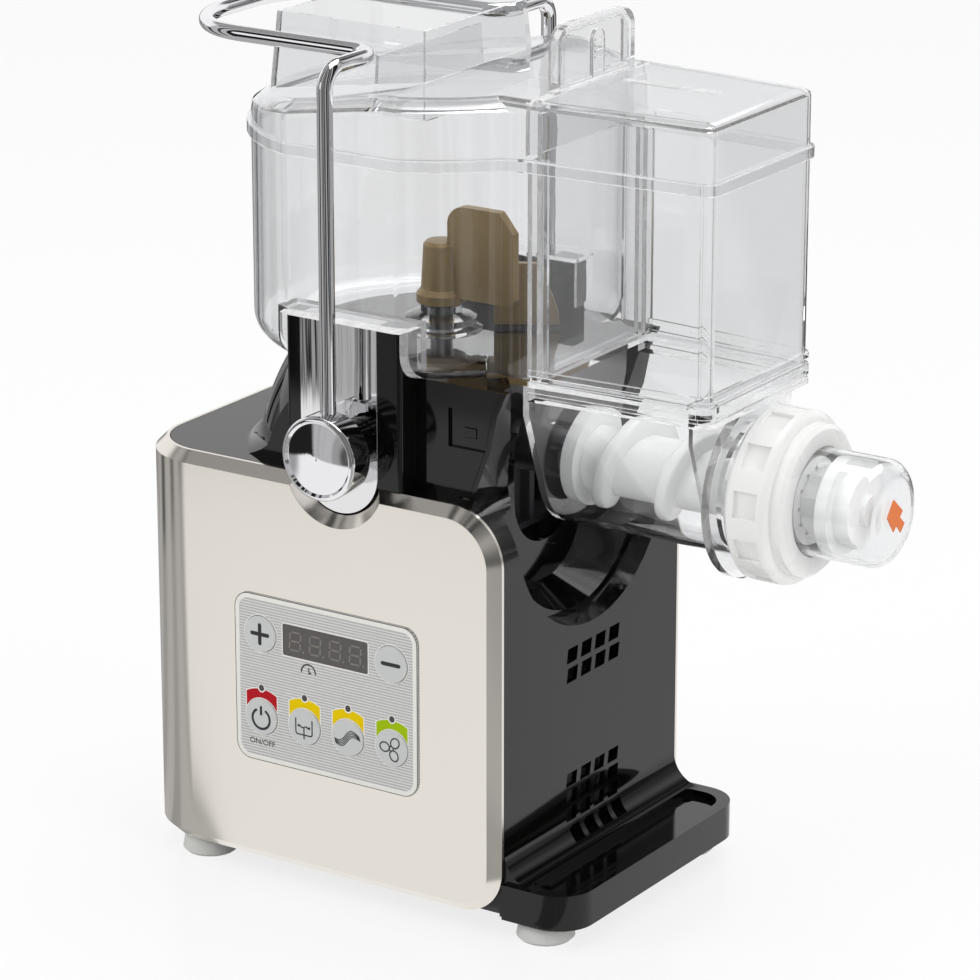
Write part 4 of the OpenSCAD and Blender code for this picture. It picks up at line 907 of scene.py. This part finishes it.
@dataclass
class ControlPanel:
    """Printed panel, display, lamps and the six push keys.

    Attributes:
        stroke: Width of the printed lines in millimetres.
        margin: Width of the pale border of the film in millimetres.
        outline: Width of the pale lines round keys, tabs and display.
        corner: Corner radius of the film in millimetres.
        flange: Width of the hidden collar round each key in millimetres.
        film_round: Edge rounding of the film and the window in millimetres.
        key_round: Edge rounding of the keys in millimetres.
        rim_inset: Distance of the dark rim from the film's edge in millimetres.
        rim_width: Width of that rim in millimetres.
        digit_half: Half width and half height of a digit in millimetres.
        digit_pitch: Distance from digit to digit in millimetres.
        digit_lean: Slope of the digits.
        digit_trim: Gap at each end of a segment in millimetres.
        digit_stroke: Width of a segment in millimetres.
        point_radius: Radius of the points in millimetres.
        keys: CAD node of each key with its symbol and tab ink.
    """

    stroke: float = 0.8
    margin: float = 2.3
    outline: float = 0.55
    corner: float = 8.0
    flange: float = 1.2
    film_round: float = 0.1
    key_round: float = 0.15
    rim_inset: float = 0.22
    rim_width: float = 0.34
    digit_half: Spot = (3.0, 4.4)
    digit_pitch: float = 11.2
    digit_lean: float = 0.06
    digit_trim: float = 0.6
    digit_stroke: float = 0.85
    point_radius: float = 0.55
    keys: dict[str, tuple[Symbol, Finish | None]] = field(default_factory=lambda: {
        "key_plus": (Symbol.PLUS, None),
        "key_minus": (Symbol.MINUS, None),
        "key_power": (Symbol.POWER, RED),
        "key_knead": (Symbol.BOWL, YELLOW),
        "key_extrude": (Symbol.STRANDS, YELLOW),
        "key_blow": (Symbol.FAN, GREEN),
    })

    def dress(self) -> None:
        """Gives the nodes their finishes and adds the print."""
        dress_node("control_overlay", FILM, self.film_round)
        dress_node("display_lens", WINDOW, self.film_round)
        dress_node("digit_module", SEGMENT)
        dress_node("led_lights", LAMP)
        dress_node("circuit_board", BOARD)
        dress_node("board_frame", INNER)
        self.build_border()
        self.build_digits()
        for node, (symbol, tab) in self.keys.items():
            dress_node(node, KEY, self.key_round)
            self.build_key_print(node, symbol)
            self.build_surround(node, tab)
        self.build_dial_sign()
        self.build_switch_words()

    def half_size(self, node: str) -> Spot:
        """Measures a node.

        Args:
            node: CAD node.

        Returns:
            Half its width and half its height in millimetres.
        """
        low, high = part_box(node)
        return (high.x - low.x) / 2 / MM, (high.z - low.z) / 2 / MM

    def art_on(self, node: str, surface: str, shift: Spot = (0.0, 0.0)) -> Artwork:
        """Returns a drawing surface centred on a node.

        Args:
            node: Node whose middle is the origin of the drawing.
            surface: Node whose near face carries the print.
            shift: Move of the origin in millimetres.

        Returns:
            The drawing surface.
        """
        low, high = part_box(node)
        return Artwork((low.x + high.x) / 2 + shift[0] * MM, (low.z + high.z) / 2 + shift[1] * MM,
                       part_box(surface)[0].y, body_of_node(surface))

    def build_border(self) -> None:
        """Prints the pale border of the film, its dark rim and the frame of the display."""
        half_w, half_h = self.half_size("control_overlay")
        art = self.art_on("control_overlay", "control_overlay")
        inset = self.margin / 2 + 0.25
        art.line("film_border", round_frame(half_w - inset, half_h - inset, self.corner - inset),
                 self.margin, PALE)
        inset = self.rim_inset
        art.line("film_rim", round_frame(half_w - inset, half_h - inset, self.corner - inset),
                 self.rim_width, INK, 0.03)
        half_w, half_h = self.half_size("display_lens")
        art = self.art_on("display_lens", "control_overlay")
        grow = self.outline / 2
        art.line("display_frame", round_frame(half_w + grow, half_h + grow, 1.0 + grow),
                 self.outline, PALE)

    def build_digits(self) -> None:
        """Draws four unlit seven-segment digits with their points behind the window."""
        art = self.art_on("display_lens", "display_lens")
        half_w, half_h = self.digit_half
        for number in range(4):
            mid = (number - 1.5) * self.digit_pitch
            for part, (x1, z1, x2, z2) in SEGMENTS.items():
                start, end = (Vector((half_w * x, half_h * z)) for x, z in ((x1, z1), (x2, z2)))
                trim = (end - start).normalized() * self.digit_trim
                path = [(mid + spot.x + self.digit_lean * spot.y, spot.y)
                        for spot in (start + trim, end - trim)]
                art.line(f"digit{number}_{part}", path, self.digit_stroke, SEGMENT)
            art.disc(f"digit{number}_point", (mid + half_w + 1.6, -half_h), self.point_radius,
                     SEGMENT)

    def build_key_print(self, node: str, symbol: Symbol) -> None:
        """Draws the symbol of one key on its cap.

        Args:
            node: CAD node of the key.
            symbol: What it shows.
        """
        art, pen = self.art_on(node, node), self.stroke
        if symbol in (Symbol.PLUS, Symbol.MINUS):
            art.line(f"{node}_bar", [(-4.5, 0), (4.5, 0)], 1.9, INK, tips=0.9)
            if symbol is Symbol.PLUS:
                art.line(f"{node}_upright", [(0, -4.5), (0, 4.5)], 1.9, INK, 0.03, tips=0.9)
        elif symbol is Symbol.POWER:
            art.line(f"{node}_ring", arc_path((0, -1.0), 4.9, 118, 304), 1.2, INK)
            art.line(f"{node}_upright", [(0, 1.2), (0, 4.9)], 1.3, INK, 0.03, tips=0.5)
        elif symbol is Symbol.BOWL:
            sides = ([(-4.6, 4.0)] + arc_path((-3.4, -2.6), 1.2, 180, 90)
                     + arc_path((3.4, -2.6), 1.2, 270, 90) + [(4.6, 4.0)])
            art.line(f"{node}_bowl", sides, pen * 0.8, INK)
            art.line(f"{node}_shaft", [(0, 0), (0, -5.8)], pen * 0.8, INK, 0.03)
            wave = [(x / 2, 0.35 * math.sin(x * 0.9)) for x in range(-7, 8)]
            art.band(f"{node}_blade", [(x, y - 0.15 - 0.07 * abs(x)) for x, y in wave],
                     [(x, y + 0.25 + 0.18 * abs(x)) for x, y in wave], INK, 0.04)
        elif symbol is Symbol.STRANDS:
            for row in range(5):
                path = []
                for step in range(-14, 15):
                    x = step * 0.5
                    phase = math.pi * (x + 0.6) / 6.8
                    past = max(0.0, abs(phase) - math.pi / 2)
                    phase = math.copysign(abs(phase) - 0.4 * past, phase)
                    spread = (row - 2) * 0.8 * (1 - 0.4 * (step / 14) ** 2)
                    path.append((x - 0.25 * spread, 2.7 * math.sin(phase) - 0.4 + spread))
                art.line(f"{node}_strand{row}", path, 0.38, INK, 0.02 + 0.004 * row)
        else:
            for blade, turn in enumerate((55, 175, 295)):
                angle = math.radians(turn)
                centre = (3.6 * math.cos(angle), 3.6 * math.sin(angle))
                art.line(f"{node}_blade{blade}", arc_path(centre, 2.6, 0, 360, 0.86, turn),
                         pen * 0.8, INK, 0.02 + 0.004 * blade)
            art.line(f"{node}_hub", arc_path((0, 0), 1.15, 0, 360), pen * 0.7, INK, 0.04)

    def build_surround(self, node: str, ink: Finish | None) -> None:
        """Prints the pale ring round a key, and for a lower key its tab and lamp ring.

        Args:
            node: CAD node of the key.
            ink: Colour of the tab, or None for a key without one.
        """
        radius = self.half_size(node)[0] - self.flange
        art = self.art_on(node, "control_overlay")
        ring = radius + 0.3 + self.outline / 2
        art.line(f"{node}_ring", arc_path((0, 0), ring, 0, 360), self.outline, PALE)
        if ink is None:
            return
        inner, reach, crown = radius + 0.55, radius * 0.99, radius * 1.98
        for layer, (colour, grow) in enumerate(((PALE, self.outline), (ink, 0.0))):
            side, lift = reach + grow, 0.03 + 0.01 * layer
            below, above = [], []
            for step in range(25):
                x = side * (step / 12 - 1)
                below.append((x, math.sqrt(max(inner ** 2 - x ** 2, (0.44 * radius) ** 2)) - grow))
                above.append((x, radius * 1.56 - crown + math.sqrt(crown ** 2 - x ** 2) + grow))
            art.band(f"{node}_tab{layer}", below, above, colour, lift)
        lamp = (0.0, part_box("led_lights")[0].z / MM - art.z0 / MM + 1.6)
        art.disc(f"{node}_lamp_ring", lamp, 2.1, PALE, 0.05)
        art.disc(f"{node}_lamp_spot", lamp, 1.45, DARK_LAMP, 0.06)

    def build_dial_sign(self) -> None:
        """Draws the small dial under the display."""
        art = self.art_on("display_lens", "control_overlay",
                          (-9.5, -self.half_size("display_lens")[1] - 6.0))
        art.line("dial_rim", arc_path((0, 0), 3.9, -5, 190), 0.7, INK)
        art.line("dial_hand", [(0.4, -0.6), (0.2, 2.3)], 0.6, INK, 0.03)
        art.line("dial_pointer", [(0.1, -0.4), (1.6, -0.1)], 0.6, INK, 0.035)

    def build_switch_words(self) -> None:
        """Prints ON/OFF below the power key."""
        art = self.art_on("key_power", "control_overlay",
                          (0.0, -self.half_size("key_power")[1] - 3.0))
        art.words("switch_words", "ON/OFF", 2.9, INK)


# ------------------------------------------------------------------ studio


@dataclass
class Studio:
    """Floor, lamps, world, reflected surroundings and camera.

    Attributes:
        azimuth: Camera direction in degrees, where 0 looks along +Y.
        elevation: Camera height in degrees above the horizon.
        place: Camera position in metres.
        lens: Focal length in millimetres.
        floor_share: Share of plain white in the floor that direct rays see.
        table: Left, right, front and back edge of the bright table top in metres.
        cuts: Dark wedges of the table: tip in metres, heading and half angle in degrees.
        table_glow: Brightness of the table top in reflections.
        cut_share: Brightness left in those wedges.
        soft_edge: Half width of the table's and the wedges' soft edges.
        softbox: Direction in which reflections show the lit box beside the camera.
        softbox_span: Alignment with that direction at which the box starts and is full.
        wall_glow: Brightness of the wall behind the machine in reflections.
        wall_span: Alignment with the view at which the wall starts and is full.
        wall_top: Rise of the direction at which the wall starts to fade and has gone.
        room_glow: Least and greatest brightness of the unlit room in reflections.
        streak_span: Noise values at which the room is darkest and brightest.
        veil_glow: Brightness of the room in reflections seen through clear plastic.
        floor_grey: Base colour value of the floor.
        world_glow: Strength of the even light from all round.
        lamps: Softboxes: name, position and side in metres, power in watts, and whether
            reflections show them.
        aim: Point in metres that the lamps are turned to.
    """

    azimuth: float = 33.35
    elevation: float = 18.26
    place: Triple = (1.0472, -1.6374, 0.8310)
    lens: float = 163.79
    floor_share: float = 0.80
    table: tuple[float, float, float, float] = (-0.62, 0.90, -0.72, 0.75)
    cuts: tuple[tuple[tuple[float, float], float, float], ...] = (
        ((-0.13, -0.09), 178.0, 46.0), ((0.03, -0.10), 318.0, 40.0))
    cut_share: float = 0.38
    table_glow: float = 0.95
    soft_edge: float = 0.03
    softbox: Triple = (-0.55, -0.80, 0.22)
    softbox_span: tuple[float, float] = (0.972, 0.978)
    wall_glow: float = 1.0
    wall_span: tuple[float, float] = (0.30, 0.55)
    wall_top: tuple[float, float] = (0.48, 0.62)
    room_glow: tuple[float, float] = (0.015, 0.50)
    streak_span: tuple[float, float] = (0.46, 0.56)
    veil_glow: float = 0.36
    floor_grey: float = 0.92
    world_glow: float = 0.45
    lamps: tuple[tuple[str, Triple, float, float, bool], ...] = (
        ("key_softbox", (-1.5, -1.6, 1.7), 1.6, 26.0, False),
        ("right_softbox", (2.3, -0.5, 1.3), 1.4, 18.0, False),
        ("top_softbox", (0.2, 0.6, 2.4), 1.8, 26.0, True))
    aim: Triple = (0.0, 0.0, 0.2)

    def build(self) -> None:
        """Builds the whole studio."""
        self.build_floor()
        self.build_surroundings()
        self.build_world()
        for name, place, size, power, mirrored in self.lamps:
            self.build_lamp(name, place, size, power, mirrored)
        self.build_camera()
        view = bpy.context.scene.view_settings
        view.view_transform = "Standard"
        LOG.info("built studio")

    def build_floor(self) -> None:
        """Lays a pale floor that keeps the shadow and reads as white."""
        bm = bmesh.new()
        bmesh.ops.create_circle(bm, cap_ends=True, segments=96, radius=9.0)
        floor = self._stage_mesh(bm, "floor")
        tree = floor.data.materials[0].node_tree
        shader = tree.nodes["Principled BSDF"]
        shader.inputs["Base Color"].default_value = (*(self.floor_grey,) * 3, 1.0)
        shader.inputs["Roughness"].default_value = 0.22
        white = tree.nodes.new("ShaderNodeEmission")
        seen = mix_shaders(tree, self._direct_share(tree, self.floor_share),
                           shader.outputs["BSDF"], white.outputs["Emission"])
        place = tree.nodes.new("ShaderNodeTexCoord").outputs["Object"]
        shine = math_node(tree, "MULTIPLY", self._table_share(tree, place), self.table_glow)
        table = tree.nodes.new("ShaderNodeEmission")
        feed(tree, table.inputs["Strength"],
             math_node(tree, "MAXIMUM", shine, self._room_level(tree, place)))
        self._show_mirrored(tree, seen, table.outputs["Emission"])

    def _table_share(self, tree: Tree, place: Socket) -> Socket:
        """Adds nodes that are 1 on the table top, less in its dark wedges and 0 outside.

        Args:
            tree: Node tree of the floor.
            place: Object coordinates of the floor.

        Returns:
            The output socket.
        """
        axes = tree.nodes.new("ShaderNodeSeparateXYZ")
        tree.links.new(place, axes.inputs["Vector"])
        left, right, front, back = self.table
        parts = []
        for axis, middle, result in (("X", left, (0.0, 1.0)), ("X", right, (1.0, 0.0)),
                                     ("Y", front, (0.0, 1.0)), ("Y", back, (1.0, 0.0))):
            parts.append(ramp_node(tree, axes.outputs[axis], self._soft(middle), result))
        for tip, heading, half_angle in self.cuts:
            arm = vector_node(tree, "SUBTRACT", place, (*tip, 0.0))
            turn = math.radians(heading)
            facing = vector_node(tree, "DOT_PRODUCT", vector_node(tree, "NORMALIZE", arm),
                                 (math.cos(turn), math.sin(turn), 0.0))
            parts.append(ramp_node(tree, facing, self._soft(math.cos(math.radians(half_angle))),
                                   (1.0, self.cut_share)))
        share = parts.pop()
        for part in parts:
            share = math_node(tree, "MULTIPLY", share, part)
        return share

    def _soft(self, middle: float) -> tuple[float, float]:
        """Widens a limit to a soft edge.

        Args:
            middle: The limit.

        Returns:
            Start and end of the edge.
        """
        return middle - self.soft_edge, middle + self.soft_edge

    def _show_mirrored(self, tree: Tree, plain: Socket, mirrored: Socket) -> None:
        """Shows one shader to mirrored rays and another to all others.

        Args:
            tree: Node tree of the material.
            plain: Shader for all other rays.
            mirrored: Shader for mirrored rays.
        """
        surface = mix_shaders(tree, self._mirror_ray(tree), plain, mirrored)
        tree.links.new(surface, tree.nodes["Material Output"].inputs["Surface"])

    def build_surroundings(self) -> None:
        """Puts a dome round the set that only reflections see.

        It is bright behind the machine and dark on the camera's side, as a studio is.
        """
        bm = bmesh.new()
        bmesh.ops.create_uvsphere(bm, u_segments=48, v_segments=24, radius=8.5)
        dome = self._stage_mesh(bm, "surroundings")
        for flag in ("camera", "diffuse", "volume_scatter", "shadow"):
            setattr(dome, f"visible_{flag}", False)
        tree = dome.data.materials[0].node_tree
        place = tree.nodes.new("ShaderNodeTexCoord").outputs["Object"]
        unit = vector_node(tree, "NORMALIZE", place)
        turn = math.radians(self.azimuth)
        facing = vector_node(tree, "DOT_PRODUCT", unit, (-math.sin(turn), math.cos(turn), 0.12))
        axes = tree.nodes.new("ShaderNodeSeparateXYZ")
        tree.links.new(unit, axes.inputs["Vector"])
        back = math_node(tree, "MULTIPLY",
                         ramp_node(tree, facing, self.wall_span, (0.0, self.wall_glow)),
                         ramp_node(tree, axes.outputs["Z"], self.wall_top, (1.0, 0.0)))
        box = ramp_node(tree, vector_node(tree, "DOT_PRODUCT", unit, self.softbox),
                        self.softbox_span, (0.0, self.table_glow))
        lit = math_node(tree, "MAXIMUM", math_node(tree, "MAXIMUM", back, box),
                        self._room_level(tree, place))
        glow = tree.nodes.new("ShaderNodeEmission")
        tree.links.new(lit, glow.inputs["Strength"])
        clear = tree.nodes.new("ShaderNodeBsdfTransparent")
        self._show_mirrored(tree, clear.outputs["BSDF"], glow.outputs["Emission"])

    def _room_level(self, tree: Tree, place: Socket) -> Socket:
        """Adds nodes for the unlit room: upright streaks, and a veil behind clear plastic.

        Args:
            tree: Node tree to add to.
            place: Object coordinates of the spot that is seen.

        Returns:
            The output socket.
        """
        heading = vector_node(tree, "NORMALIZE",
                              vector_node(tree, "MULTIPLY", place, (1.0, 1.0, 0.0)))
        level = ramp_node(tree, noise_node(tree, heading, 5.0, 2.0), self.streak_span,
                          self.room_glow)
        path = tree.nodes.new("ShaderNodeLightPath")
        veil = math_node(tree, "MULTIPLY", path.outputs["Transmission Depth"], self.veil_glow)
        return math_node(tree, "MAXIMUM", level,
                         math_node(tree, "MINIMUM", veil, self.veil_glow))

    def _stage_mesh(self, bm: Mesh, name: str) -> bpy.types.Object:
        """Turns a bmesh into an object of the set with a node material of its own.

        Args:
            bm: Mesh in the row frame, freed here.
            name: Name of the object, mesh and material.

        Returns:
            The new object.
        """
        paint = bpy.data.materials.new(name)
        paint.use_nodes = True
        holder = make_object(bm, name, paint)
        return holder

    def _direct_share(self, tree: Tree, share: float) -> Socket:
        """Adds nodes that are a share for camera and transmitted rays and 0 for others.

        Args:
            tree: Node tree to add to.
            share: Value for those rays.

        Returns:
            The output socket.
        """
        path = tree.nodes.new("ShaderNodeLightPath")
        either = math_node(tree, "MAXIMUM", path.outputs["Is Camera Ray"],
                           path.outputs["Is Transmission Ray"])
        return math_node(tree, "MULTIPLY", either, share)

    def _mirror_ray(self, tree: Tree) -> Socket:
        """Adds nodes that are 1 for rays that were mirrored on their way and 0 for others.

        Args:
            tree: Node tree to add to.

        Returns:
            The output socket.
        """
        path = tree.nodes.new("ShaderNodeLightPath")
        once = math_node(tree, "MINIMUM", path.outputs["Glossy Depth"], 1.0)
        return math_node(tree, "SUBTRACT", once, path.outputs["Is Diffuse Ray"], clamp=True)

    def build_world(self) -> None:
        """Lights softly from all round and shows white to direct rays."""
        world = bpy.data.worlds.new("studio_world")
        bpy.context.scene.world = world
        world.use_nodes = True
        tree = world.node_tree
        dim = tree.nodes["Background"]
        dim.inputs["Color"].default_value = (1, 1, 1, 1)
        dim.inputs["Strength"].default_value = self.world_glow
        white = tree.nodes.new("ShaderNodeBackground")
        white.inputs["Strength"].default_value = 1.0
        path = tree.nodes.new("ShaderNodeLightPath")
        bright = math_node(tree, "MAXIMUM", self._direct_share(tree, 1.0),
                           path.outputs["Is Glossy Ray"])
        surface = mix_shaders(tree, bright, dim.outputs["Background"],
                              white.outputs["Background"])
        tree.links.new(surface, tree.nodes["World Output"].inputs["Surface"])

    def build_lamp(self, name: str, place: Triple, size: float,
                   power: float, mirrored: bool) -> None:
        """Hangs one square softbox that points at the machine.

        Args:
            name: Lamp name.
            place: Position in metres.
            size: Side length in metres.
            power: Power in watts.
            mirrored: Whether reflections show the lamp.
        """
        lamp = bpy.data.lights.new(name, "AREA")
        lamp.shape = "SQUARE"
        lamp.size = size
        lamp.energy = power
        holder = link_object(name, lamp)
        holder.visible_glossy = mirrored
        holder.location = place
        aim = Vector(self.aim) - Vector(place)
        holder.rotation_euler = aim.to_track_quat("-Z", "Y").to_euler()

    def build_camera(self) -> None:
        """Places the camera."""
        lens = bpy.data.cameras.new("camera")
        lens.lens = self.lens
        lens.sensor_width = 36.0
        lens.sensor_fit = "HORIZONTAL"
        lens.clip_end = 30.0
        holder = link_object("camera", lens)
        holder.location = self.place
        holder.rotation_euler = (math.radians(90 - self.elevation), 0, math.radians(self.azimuth))
        bpy.context.scene.camera = holder


def main() -> None:
    """Builds every sub-assembly in order and reports it."""
    logging.basicConfig(level=logging.INFO, format="%(name)s: %(message)s")
    for part in (Casing(), Handle(), BowlAndLid(), Extruder(), Drive(), ControlPanel()):
        part.dress()
        LOG.info("finished %s", type(part).__name__)
    Studio().build()


if __name__ == "__main__":
    main()
